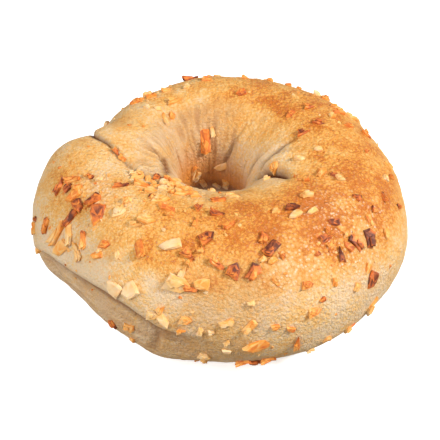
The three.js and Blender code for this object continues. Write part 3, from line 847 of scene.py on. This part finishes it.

# %% [markdown]
# ## Where the flakes are
# The large flakes are the bagel's landmarks, so each is listed by where it shows in the picture: how
# far across and down it shows, how long and wide it is, how its long side is turned, and how brown
# it is, from 0, cream, to 4, burnt. A ray from the camera would find the dough under each one. Here
# the nearest small patch of dough that faces the camera does the same, in one line of arithmetic.

# %% The flakes in the picture
FLAKES = [  # across, down, length, width, turn, how brown
    (57, 232, 9, 2.8, 43, 1.3), (68, 221, 6.5, 2.3, 45, 3.2), (68, 238, 7, 2.4, 105, 0.6),
    (61, 249, 6, 3.4, 20, 1), (77, 253, 6, 2, 125, 0.8), (82, 239, 5.5, 2.1, 95, 2.1),
    (45, 225, 5, 2.5, 75, 2.2), (73, 179, 5.6, 2, -5, 2), (58, 186, 5, 2.1, 65, 2.8),
    (66, 187, 3.4, 2.2, 60, 3), (71, 196, 4.4, 2.6, 30, 1.8), (78, 205, 4.2, 3, 120, 3.1),
    (91, 200, 5.4, 3.5, 40, 3), (98, 214, 6, 4, 90, 2.5), (120, 185, 4.3, 1.7, -5, 2.8),
    (142, 184, 6.6, 2.5, -15, 1.6), (139, 173, 3.8, 2.2, -20, 1), (157, 176, 2.6, 2.2, 20, 2.8),
    (119, 212, 4.2, 2.5, 10, 0.3), (147, 219, 5, 3, -20, 1), (165, 208, 4.6, 2.4, -30, 2),
    (104, 243, 3.6, 2.2, -10, 2), (96, 254, 3.4, 2.2, 10, 1.6), (139, 250, 6, 2.7, 115, 2),
    (113, 290, 4.6, 3.8, -40, 0), (129, 291, 4.7, 4.4, 30, 0), (112, 325, 3.3, 2, -50, 2.7),
    (130, 328, 3.4, 2.5, -20, 1.2), (153, 316, 4, 2.2, 10, 0.5), (165, 319, 4.6, 2.4, 120, 0.3),
    (178, 284, 8, 4.2, -15, 0.6), (200, 285, 4.2, 3.1, -10, 1), (183, 272, 3.4, 2, 60, 0.4),
    (171, 246, 5.6, 3, 10, 0), (187, 256, 4.2, 3, -45, 2.4), (205, 236, 5.2, 3.1, 45, 2.8),
    (217, 263, 4.8, 2.1, -40, 2.5), (232, 272, 4.8, 3.4, 75, 3.2), (253, 271, 5.2, 3.6, 45, 2.6),
    (270, 248, 6.2, 3, 55, 3.6), (263, 239, 3.6, 2.6, 60, 2.2), (291, 206, 4.4, 2.2, 12, 4),
    (295, 214, 3.8, 2.2, 50, 0.6), (230, 225, 4, 1.6, 45, 2), (219, 214, 4.5, 2, 10, 2.9),
    (218, 200, 4.6, 2.2, 15, 2.3), (232, 195, 4.6, 2.4, -10, 1.2), (198, 207, 3, 2.2, 60, 2.7),
    (207, 143, 8.6, 3.2, 100, 1.9), (220, 168, 4.2, 2.1, 25, 0.4), (195, 172, 5, 2.1, 115, 1),
    (204, 184, 4, 1.8, 120, 0.9), (225, 185, 3.8, 2.6, 60, 0.9), (175, 184, 4.8, 3, 120, 1.3),
    (190, 77, 5.2, 2.2, 15, 3), (207, 78, 3.2, 1.9, 0, 2.3), (173, 100, 4.6, 2.1, 35, 1.4),
    (166, 119, 4, 1.8, 100, 1), (134, 101, 3, 2.5, 20, 2), (151, 95, 3.6, 1.7, 30, 1.8),
    (319, 93, 3.6, 2.2, -40, 0.3), (291, 113, 3.2, 1.8, 60, 2.4), (309, 106, 3, 2, 20, 2.5),
    (321, 123, 4.2, 2, -20, 3), (302, 132, 3.8, 2.2, 15, 3), (335, 106, 3.6, 2.2, -35, 1.6),
    (332, 115, 3, 2, 40, 1), (351, 116, 3.6, 2.2, -30, 1), (366, 133, 3.2, 1.9, -45, 2),
    (298, 158, 3.2, 2.1, -30, 0.4), (273, 166, 4.2, 2.6, 30, 1.2), (335, 175, 3.4, 1.8, 115, 2.8),
    (308, 194, 4.2, 2.7, 50, 0.9), (357, 198, 3, 2.2, -20, 3.3), (385, 196, 3.8, 1.8, 80, 2.9),
    (389, 165, 3.8, 2, 110, 1.1), (371, 222, 3.6, 1.6, 110, 1.4), (335, 221, 3.3, 2.2, -5, 2.8),
    (326, 238, 4.2, 2.8, 30, 2.9), (348, 246, 3.3, 2, -40, 2.3), (358, 244, 5.5, 2.9, 125, 2.8),
    (368, 239, 5.8, 3.5, 75, 3.6), (341, 257, 4.2, 2, 100, 3.8), (372, 281, 5, 3.1, 60, 2.9),
    (306, 285, 3.8, 2, 10, 2), (315, 312, 4.4, 2.2, 15, 1.5), (250, 329, 5, 2.2, 55, 1.1),
    (226, 325, 4.3, 2.2, 10, 0.7), (255, 344, 7.2, 3.6, 8, 1.6), (298, 344, 5.3, 2, 100, 2),
    (184, 321, 3.8, 2.2, 0, 1.2), (205, 356, 3.8, 2, -5, 0.5), (243, 363, 4.6, 2, 10, 2.2),
    (256, 364, 3.8, 2.2, -30, 2.9), (268, 361, 4.6, 2, 15, 2), (373, 306, 5.4, 2.4, 50, 1),
]
FINE_COLUMNS, FINE_ROWS = 360, 180
REACH_IN_VIEW, PULL_IN_VIEW = 2.0, 10.0


def facing_patches():
    """Every small patch of the dough that faces the camera, with its place in the picture."""
    ring_angles = np.arange(FINE_COLUMNS) * 360.0 / FINE_COLUMNS
    rope_angles = np.arange(FINE_ROWS) * 360.0 / FINE_ROWS
    a, b = (grid.ravel() for grid in np.meshgrid(ring_angles, rope_angles, indexing="ij"))
    net = dough_points(a, b)[0].reshape(FINE_COLUMNS, FINE_ROWS, 3)
    side = np.cross(np.roll(net, -1, 0) - net, np.roll(net, -1, 1) - net)
    points, facing = net.reshape(-1, 3), unit(side).reshape(-1, 3)
    sight, depth, x, y = in_view(points)
    seen = ((facing * sight).sum(1) > 0) & (points[:, 2] > 0)
    return points[seen], facing[seen], depth[seen], x[seen], y[seen]


def seat_in_view(patches, x, y, turn_angle):
    """Where a flake sits, which way is out, and which way is along it."""
    points, facing, depth, across_view, down_view = patches
    miss = np.hypot(across_view - x, down_view - y)
    best = np.argmin(depth + PULL_IN_VIEW * np.maximum(miss - REACH_IN_VIEW, 0))
    turned = math.radians(turn_angle)
    long_side = across * math.cos(turned) + upward * math.sin(turned)
    out = facing[best]
    return points[best], out, unit(long_side - out * (long_side @ out))


patches = facing_patches()
print("patches that face the camera:", len(patches[0]))

# %% Size, tilt and place of every flake
HIDDEN = dict(
    count=22, seed=1917, bearings=(20, 160), slopes=(-25, 60), gap=9, length=(2.6, 4.6),
    shape=(0.45, 0.8), brownest=3.2,
)
FLAKE = dict(thin=0.9, per_width=0.3, sunk=0.3, tilt=16, roll=22, clearance=0.4)
flake_draw = make_draw(HIDDEN["seed"])
flakes = []


def kind_for(length, width, share, brown):
    """A shape that suits the flake's proportions. A cream flake is a plain chip."""
    if brown == 0:
        return 0
    if width < 0.5 * length:
        return (3, 1, 4)[int(share * 3)]
    if width > 0.78 * length:
        return (0, 0, 5)[int(share * 3)]
    return (5, 2, 0, 1)[int(share * 4)]


def add_flake(seat, length, width, brown, draw):
    """Turns a seat and a size into one flake, with the same draws as the solid model."""
    place, out, along_flake = seat
    thickness = FLAKE["thin"] + FLAKE["per_width"] * width
    share = draw()
    corners = 5 if share < 0.5 else 6
    roll = math.radians(FLAKE["roll"] * (draw() - 0.5) * 2)
    tilt = math.radians(FLAKE["tilt"] * (draw() - 0.5) * 2)
    for skipped in range(2 * corners):
        share = draw()
    turned = Matrix((along_flake, np.cross(out, along_flake), out)).transposed()
    turned = turned @ Matrix.Rotation(roll, 3, "X") @ Matrix.Rotation(tilt, 3, "Y")
    centre = place + out * thickness * (0.5 - FLAKE["sunk"])
    sizes = (length, width, thickness)
    hangs = 0.6 * sum(abs(turned[2][axis]) * size for axis, size in enumerate(sizes))
    centre[2] = max(centre[2], FLAKE["clearance"] + hangs)
    flakes.append(dict(
        place=(centre + HOLE_CENTRE) * MM,
        spin=turned.to_euler(),
        size=(length * MM, width * MM, thickness * MM),
        brown=brown / 4,
        kind=kind_for(length, width, share, brown),
    ))


for x, y, length, width, turn_angle, how_brown in FLAKES:
    add_flake(seat_in_view(patches, x, y, turn_angle), length, width, how_brown, flake_draw)
print("flakes in the picture:", len(flakes))

# %% [markdown]
# The far side doesn't show in the picture. Its flakes are drawn at random, no two too close.

# %% Flakes on the far side
def drawn_between(limits):
    low, high = limits
    return low + (high - low) * flake_draw()


hidden_seats = []
while len(hidden_seats) < HIDDEN["count"]:
    at_bearing, at_slope = drawn_between(HIDDEN["bearings"]), drawn_between(HIDDEN["slopes"])
    place = dough_points(np.array([at_bearing]), np.array([at_slope]))[0][0]
    if all(np.linalg.norm(place - other[0]) > HIDDEN["gap"] for other in hidden_seats):
        out = rope_normal(at_bearing, at_slope)
        level = unit(np.cross([0.0, 0.0, 1.0], out))
        spin = Matrix.Rotation(flake_draw() * math.pi, 3, Vector(out))
        hidden_seats.append((place, out, np.array(spin @ Vector(level))))
brown_draw = make_draw(3)
for seat in hidden_seats:
    length = drawn_between(HIDDEN["length"])
    width = length * drawn_between(HIDDEN["shape"])
    add_flake(seat, length, width, HIDDEN["brownest"] * brown_draw(), flake_draw)
print("flakes in all:", len(flakes))

# %% [markdown]
# The small flakes are read from the picture too. They come last, so that the large ones keep their
# draws and match the solid model's.

# %% Small flakes in the picture
SMALL_FLAKES = [  # across, down, length, width, turn, how brown
    (35, 218, 1.6, 1.2, 90, 2.8), (33, 230, 4, 1.5, 90, 1.4), (39, 252, 2, 1.5, 30, 1.2),
    (77, 187, 3.5, 2, 20, 1.6), (91, 175, 2.4, 1.6, -60, 2.7), (98, 178, 2.4, 1.7, 10, 0.4),
    (126, 199, 3, 2, 30, 1.3), (152, 197, 3, 1.6, 120, 2.5), (136, 225, 4, 2, -15, 0.8),
    (99, 249, 2.4, 1.6, 30, 0.4), (115, 256, 2.8, 1.5, 70, 0.3), (131.5, 340, 1.8, 1.4, 20, 1.3),
    (161, 309, 2.6, 2, 40, 1.2), (190, 289, 4, 1.8, -10, 2.3), (272, 261, 2.6, 1.8, 35, 1.4),
    (283.5, 257, 1.8, 1.3, 60, 2.7), (275, 281, 2.8, 0.8, -50, 1.9), (313, 210, 3, 1.6, 40, 0.4),
    (278, 211, 2.4, 1.7, 0, 1.2), (196, 222, 3.6, 1.6, 80, 2), (205, 150, 5, 1.2, 110, 0.4),
    (211, 132, 3.6, 1.6, 100, 0.4), (216, 186, 3, 1.5, 120, 0.4), (184, 192, 3.4, 2.2, 15, 1.2),
    (163, 182, 3, 2.2, 40, 0.4), (188, 85, 2, 1.8, 0, 0.3), (172, 115, 2.6, 2, 60, 1.7),
    (141, 98, 2, 1.4, 30, 1.9), (166, 89, 3, 1.4, 25, 1.3), (148, 106, 2.4, 1.8, 70, 0.4),
    (159, 108, 2, 1.6, 10, 0.4), (243, 76.5, 2, 1.4, 0, 1.9), (270, 79, 2, 1.4, 20, 1.9),
    (289, 82, 2, 1.4, -20, 2), (300, 87, 1.5, 1.1, 0, 1.4), (349, 125, 3, 1.8, -30, 1.7),
    (366, 150, 2, 1.2, 40, 2.7), (319, 148, 2.2, 1.8, 20, 0.4), (267, 177, 2.2, 1.6, 60, 0.4),
    (338, 176, 3.6, 2.4, 100, 0.7), (319, 172, 4, 2.6, 70, 1.7), (306, 179, 1.6, 1.2, 0, 1.9),
    (385, 177, 2.6, 1.7, 70, 0.8), (392, 177, 2, 1.4, 80, 2.7), (399, 206, 1.8, 1.3, 90, 2.8),
    (375, 211, 2.2, 1.6, 100, 2.7), (387, 234, 3, 2, 80, 1.2), (332, 247, 3, 2, 30, 2.4),
    (348, 236, 1.7, 1.3, 0, 1.3), (319, 254, 1.7, 1.2, 30, 2.7), (369, 270, 3, 1.8, 65, 1.3),
    (355, 288, 2.8, 1.9, 50, 1.2), (334, 284, 2.6, 1.7, 70, 1.2), (321, 300, 1.8, 1.3, 20, 2.7),
    (252, 304, 2.4, 1.7, 0, 0.5), (275, 327, 2.6, 1.7, 40, 1.3), (289, 330, 2.4, 1.6, -30, 1.9),
    (180, 330, 2.4, 1.8, 10, 1.2), (201, 332, 2.6, 1.5, 60, 0.3), (210, 333, 1.8, 1.3, -20, 0.3),
    (226, 343, 2, 1.5, 30, 0.4), (225, 352, 2.6, 1.3, -40, 0.1), (204, 360, 3, 1.8, 80, 1.2),
    (326, 341, 2.8, 1.9, 30, 1.3), (310, 351, 2.4, 1.7, 0, 0.5), (349, 329, 3.6, 2, 15, 1.3),
    (240, 92, 3, 2.4, 20, 2.6), (117, 152, 3.4, 1.7, -50, 2.2), (123, 158, 3, 1.6, -45, 1.7),
    (152, 189, 3.4, 2.2, -10, 1), (164, 181, 2.8, 1.8, 20, 0.2), (175, 179, 3.4, 2.2, 60, 1.1),
    (179, 187, 3.2, 2, -20, 1.2), (187, 192, 2.8, 1.8, 10, 1.4), (195, 196, 3.2, 1.8, 15, 1.1),
    (153, 196, 2.4, 1.7, 60, 1.4), (133, 172, 2.4, 1.4, 30, 0.3), (171, 190, 2.6, 1.8, -40, 0.9),
    (129, 200, 2.6, 1.8, 30, 1), (120, 207, 2.4, 1.6, 60, 0.8), (170, 213, 2.4, 1.7, 10, 1.8),
    (212, 186, 2.6, 1.6, 110, 0.8), (330, 230, 2.2, 1.5, 40, 2.4), (318, 236, 2, 1.4, 10, 2),
    (341, 228, 2.4, 1.6, -20, 1.8), (262, 258, 2.6, 1.8, 30, 1.2), (191, 262, 2.6, 1.7, 60, 1.8),
    (199, 251, 2.2, 1.5, 0, 1.6), (154, 185, 4, 2.8, 60, 1.5), (163, 188, 3.4, 2.4, 0, 0.2),
    (167, 178, 2.6, 1.8, 0, 1.9), (179, 193, 3.8, 2.8, 20, 1.1), (185, 189, 3.6, 2.4, -20, 1.2),
    (173, 192, 3, 2.2, 50, 1.5), (161, 198, 5.2, 2.8, -5, 0.9), (138, 176, 3.6, 2.4, 20, 1.2),
    (148, 180, 3.4, 2.2, 70, 1.4), (170, 185, 3.2, 2.4, -30, 1), (192, 191, 3, 2, 10, 1.3),
    (197, 176, 4, 2, 60, 0.3),
]
small_draw = make_draw(23)
for x, y, length, width, turn_angle, how_brown in SMALL_FLAKES:
    add_flake(seat_in_view(patches, x, y, turn_angle), length, width, how_brown, small_draw)
print("flakes with the small ones:", len(flakes))

# %% [markdown]
# ## The onion's material
# Onion browns from its tips and edges inwards, and no two facets of a flake face the oven alike.
# One ramp runs from cream to burnt, and each flake goes into it at its own brownness, which its
# points carry. Pale flakes vary little over their length and brown ones much.

# %% Onion material
ONION_RAMP = [
    (0.0, (225, 190, 144)),
    (0.2, (229, 177, 106)),
    (0.42, (226, 146, 60)),
    (0.62, (204, 108, 42)),
    (0.82, (160, 80, 36)),
    (1.0, (96, 44, 24)),
]
ONION_SCALES = {"Patch Scale": 420.0, "Speck Scale": 1300.0}
ONION_PATCHES, ONION_FACETS = 1.2, 0.4
PALE_SPREAD, BROWN_SPREAD = 0.35, 1.2
ROOT_BROWNING, TIP_BROWNING = -0.06, 0.1
ONION_GRAIN = 0.0002


def make_onion():
    material, tree, shader = new_material("onion")
    pattern = add_node(tree, "ShaderNodeGroup", ONION_SCALES, node_tree=baked_pattern).outputs
    brown = mesh_value(tree, "brown")
    tip = add_node(
        tree, "ShaderNodeMapRange",
        {"Value": mesh_value(tree, "toward_tip"), "To Min": ROOT_BROWNING, "To Max": TIP_BROWNING})
    facets = math_node(tree, "MULTIPLY", mesh_value(tree, "facet"), ONION_FACETS)
    uneven = math_node(tree, "ADD", around_zero(tree, pattern["Patches"], ONION_PATCHES), facets)
    spread = add_node(
        tree, "ShaderNodeMapRange",
        {"Value": brown, "To Min": PALE_SPREAD, "To Max": BROWN_SPREAD})
    uneven = math_node(tree, "MULTIPLY", uneven, spread.outputs[0])
    value = math_node(tree, "ADD", brown, uneven)
    value = math_node(tree, "ADD", value, tip.outputs[0], clamp=True)
    tree.links.new(colour_ramp(tree, value, ONION_RAMP), shader.inputs["Base Color"])
    bump = add_node(
        tree, "ShaderNodeBump",
        {"Strength": 0.5, "Distance": ONION_GRAIN, "Height": pattern["Specks"]})
    tree.links.new(bump.outputs["Normal"], shader.inputs["Normal"])
    shader.inputs["Roughness"].default_value = 0.55
    shader.inputs["Specular IOR Level"].default_value = 0.35
    shader.inputs["Subsurface Weight"].default_value = 0.15
    shader.inputs["Subsurface Radius"].default_value = (0.0015, 0.0008, 0.0003)
    shader.inputs["Subsurface Scale"].default_value = 1.0
    return material


onion = make_onion()
print("onion nodes:", len(onion.node_tree.nodes))

# %% [markdown]
# ## Placing the flakes with Geometry Nodes
# Each flake is one point that carries its turn, size, brownness and shape number. The tree puts
# the right shape on every point, makes the copies real, and gives them their material. That is
# far less work than one object for every flake, and a change to a shape reaches every copy.

# %% The tree that places them
def add_input(tree, name, kind, default=None):
    socket = tree.interface.new_socket(name, in_out="INPUT", socket_type=kind)
    if default is not None:
        socket.default_value = default
    return socket


def named_value(tree, name, kind):
    made = add_node(tree, "GeometryNodeInputNamedAttribute", {"Name": name}, data_type=kind)
    return made.outputs[0]


def finish_copies(tree, copies, material):
    """Makes the copies real and gives them their material, as every such tree ends."""
    real = add_node(tree, "GeometryNodeRealizeInstances", {"Geometry": copies})
    painted = add_node(
        tree, "GeometryNodeSetMaterial", {"Geometry": real.outputs[0], "Material": material})
    tree.interface.new_socket("Geometry", in_out="OUTPUT", socket_type="NodeSocketGeometry")
    result = tree.nodes.new("NodeGroupOutput")
    tree.links.new(painted.outputs[0], result.inputs[0])


def shapes_to_pick(tree, collection):
    made = add_node(tree, "GeometryNodeCollectionInfo", {
        "Collection": collection,
        "Separate Children": True,
        "Reset Children": True,
    })
    return made.outputs[0]


def build_flake_tree():
    tree = bpy.data.node_groups.new("place_flakes", "GeometryNodeTree")
    add_input(tree, "Geometry", "NodeSocketGeometry")
    add_input(tree, "Shapes", "NodeSocketCollection")
    add_input(tree, "Material", "NodeSocketMaterial")
    given = tree.nodes.new("NodeGroupInput").outputs
    spin = add_node(tree, "FunctionNodeEulerToRotation", {0: named_value(tree, "spin", "FLOAT_VECTOR")})
    copies = add_node(tree, "GeometryNodeInstanceOnPoints", {
        "Points": given["Geometry"],
        "Instance": shapes_to_pick(tree, given["Shapes"]),
        "Pick Instance": True,
        "Instance Index": named_value(tree, "kind", "INT"),
        "Rotation": spin.outputs[0],
        "Scale": named_value(tree, "size", "FLOAT_VECTOR"),
    })
    finish_copies(tree, copies.outputs[0], given["Material"])
    return tree


def run_tree(name, start, tree, values):
    """Runs a tree on an object and keeps what it makes as a plain mesh."""
    modifier = start.modifiers.new("tree", "NODES")
    modifier.node_group = tree
    sockets = {
        item.name: item.identifier
        for item in tree.interface.items_tree
        if item.in_out == "INPUT"
    }
    for key, value in values.items():
        modifier[sockets[key]] = value
    graph = bpy.context.evaluated_depsgraph_get()
    mesh = bpy.data.meshes.new_from_object(start.evaluated_get(graph), depsgraph=graph)
    mesh.name = name
    start.modifiers.remove(modifier)
    return add_object(name, mesh)


point_mesh = bpy.data.meshes.new("flake_points")
point_mesh.from_pydata([tuple(flake["place"]) for flake in flakes], [], [])
put_values(point_mesh, "spin", "FLOAT_VECTOR", [tuple(flake["spin"]) for flake in flakes])
put_values(point_mesh, "size", "FLOAT_VECTOR", [flake["size"] for flake in flakes])
put_values(point_mesh, "brown", "FLOAT", [flake["brown"] for flake in flakes])
put_values(point_mesh, "kind", "INT", [flake["kind"] for flake in flakes])
flake_points = add_object("flake_points", point_mesh)
onion_flakes = run_tree(
    "onion_flakes", flake_points, build_flake_tree(), {"Shapes": flake_shapes, "Material": onion})
bpy.data.objects.remove(flake_points)
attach(onion_flakes, "root")
print("faces of the flakes:", len(onion_flakes.data.polygons))

# %% [markdown]
# ## Crumbs
# Between the flakes lie their crumbs, too small to place one by one. The tree scatters them over
# the dough itself: never closer than a set distance, more where the crust was seeded, and each
# with its own turn, size and brownness from a fixed seed.

# %% Scatter the crumbs
CRUMBS = dict(
    apart=0.0022, most=90000.0, small=0.0005, large=0.0015, seed=5,
    everywhere=0.05, more_in_front=0.05, in_cluster=0.5, brown=(0.05, 0.62),
)
CRUMB_CLUSTERS = [  # across, down, reach in mm
    (85, 205, 9), (65, 235, 9), (70, 185, 6), (178, 186, 8), (148, 190, 7), (144, 215, 7),
    (60, 248, 7), (100, 214, 6), (232, 198, 5), (345, 242, 8), (325, 240, 6), (262, 262, 9),
    (180, 284, 6), (200, 358, 7), (255, 345, 7), (270, 358, 8), (150, 96, 6), (190, 78, 5),
]
in_front = smooth((10 - places[:, 1]) / 40)
scattered_share = CRUMBS["everywhere"] + CRUMBS["more_in_front"] * in_front
crumb_share = scattered_share * smooth((facing_up + 0.1) / 0.5) * (1 - 0.85 * wall)
for x, y, reach in CRUMB_CLUSTERS:
    gap = np.linalg.norm(places - seat_in_view(patches, x, y, 0.0)[0], axis=1)
    crumb_share += CRUMBS["in_cluster"] * np.exp(-((gap / reach) ** 2))
crumb_share *= 1 - painted_deep_shade
put_values(dough_mesh, "crumbs", "FLOAT", np.clip(crumb_share, 0, 1))


def random_value(tree, kind, low, high, seed):
    made = tree.nodes.new("FunctionNodeRandomValue")
    made.data_type = kind
    for socket in made.inputs:
        if socket.enabled and socket.name in ("Min", "Max"):
            socket.default_value = low if socket.name == "Min" else high
        if socket.enabled and socket.name == "Seed":
            socket.default_value = seed
    return next(socket for socket in made.outputs if socket.enabled)


def build_crumb_tree():
    tree = bpy.data.node_groups.new("scatter_crumbs", "GeometryNodeTree")
    add_input(tree, "Geometry", "NodeSocketGeometry")
    add_input(tree, "Shapes", "NodeSocketCollection")
    add_input(tree, "Material", "NodeSocketMaterial")
    add_input(tree, "Apart", "NodeSocketFloat", CRUMBS["apart"])
    add_input(tree, "Seed", "NodeSocketInt", CRUMBS["seed"])
    given = tree.nodes.new("NodeGroupInput").outputs
    scattered = add_node(tree, "GeometryNodeDistributePointsOnFaces", {
        "Mesh": given["Geometry"],
        "Distance Min": given["Apart"],
        "Density Max": CRUMBS["most"],
        "Density Factor": named_value(tree, "crumbs", "FLOAT"),
        "Seed": given["Seed"],
    }, distribute_method="POISSON")
    any_turn = random_value(tree, "FLOAT_VECTOR", (-0.5, -0.5, 0.0), (0.5, 0.5, 6.28), 11)
    turned = add_node(tree, "FunctionNodeRotateRotation", {
        "Rotation": scattered.outputs["Rotation"],
        "Rotate By": add_node(tree, "FunctionNodeEulerToRotation", {0: any_turn}).outputs[0],
    }, rotation_space="LOCAL")
    low, high = CRUMBS["small"], CRUMBS["large"]
    smallest, largest = (low, low, 0.6 * low), (high, 0.8 * high, 0.6 * high)
    copies = add_node(tree, "GeometryNodeInstanceOnPoints", {
        "Points": scattered.outputs["Points"],
        "Instance": shapes_to_pick(tree, given["Shapes"]),
        "Pick Instance": True,
        "Instance Index": random_value(tree, "INT", 0, len(KINDS) - 1, 12),
        "Rotation": turned.outputs[0],
        "Scale": random_value(tree, "FLOAT_VECTOR", smallest, largest, 13),
    })
    toned = add_node(tree, "GeometryNodeStoreNamedAttribute", {
        "Geometry": copies.outputs[0],
        "Name": "brown",
        "Value": random_value(tree, "FLOAT", *CRUMBS["brown"], 14),
    }, data_type="FLOAT", domain="INSTANCE")
    finish_copies(tree, toned.outputs[0], given["Material"])
    return tree


crumbs = run_tree(
    "onion_crumbs", dough, build_crumb_tree(),
    {"Shapes": flake_shapes, "Material": onion, "Apart": CRUMBS["apart"], "Seed": CRUMBS["seed"]})
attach(crumbs, "root")
for shape in list(flake_shapes.objects):
    bpy.data.objects.remove(shape)
bpy.data.collections.remove(flake_shapes)
print("faces of the crumbs:", len(crumbs.data.polygons))

# %% [markdown]
# ## Floor and light
# A catalogue picture has a plain pale floor and no hard shadow on it. The main light is fairly
# small and stands high at the right, a little in front, so that every flake throws a short shadow
# of its own. A large soft light at the front left and a bright room fill the shade.

# %% Floor
def make_floor():
    half = 1.6
    corners = [(-half, -half, 0), (half, -half, 0), (half, half, 0), (-half, half, 0)]
    mesh = bpy.data.meshes.new("floor")
    mesh.from_pydata(corners, [], [(0, 1, 2, 3)])
    material, tree, shader = new_material("floor")
    shader.inputs["Base Color"].default_value = (0.85, 0.85, 0.85, 1)
    shader.inputs["Roughness"].default_value = 0.9
    shader.inputs["Emission Color"].default_value = (1, 1, 1, 1)
    shader.inputs["Emission Strength"].default_value = 0.55
    mesh.materials.append(material)
    made = add_object("floor", mesh)
    made.visible_diffuse = False
    made.visible_glossy = False
    return made


floor = make_floor()
print("floor laid")

# %% Light
def add_light(name, place, size, power, colour):
    data = bpy.data.lights.new(name, "AREA")
    data.shape = "DISK"
    data.size = size
    data.energy = power
    data.color = colour
    lamp = bpy.data.objects.new(name, data)
    lamp.location = place
    lamp.rotation_euler = Vector(place).to_track_quat("Z", "Y").to_euler()
    bpy.context.scene.collection.objects.link(lamp)


add_light("main_light", (0.7, -0.14, 0.62), 0.22, 10.4, (1.0, 0.98, 0.95))
add_light("fill_light", (-0.6, -0.46, 0.6), 0.8, 7.2, (1.0, 1.0, 1.0))


def make_world(above, below):
    """A bright room over a pale table, each with its own strength, soft at the horizon."""
    world = bpy.data.worlds.new("studio")
    world.use_nodes = True
    tree = world.node_tree
    direction = tree.nodes.new("ShaderNodeTexCoord").outputs["Generated"]
    height = add_node(tree, "ShaderNodeSeparateXYZ", {"Vector": direction}).outputs["Z"]
    strength = add_node(
        tree, "ShaderNodeMapRange",
        {"Value": height, "From Min": -0.3, "From Max": 0.3, "To Min": below, "To Max": above})
    background = tree.nodes["Background"]
    background.inputs["Color"].default_value = (1, 1, 1, 1)
    tree.links.new(strength.outputs[0], background.inputs["Strength"])
    return world


world = make_world(above=0.43, below=0.47)
bpy.context.scene.world = world
bpy.context.scene.view_settings.view_transform = "Standard"
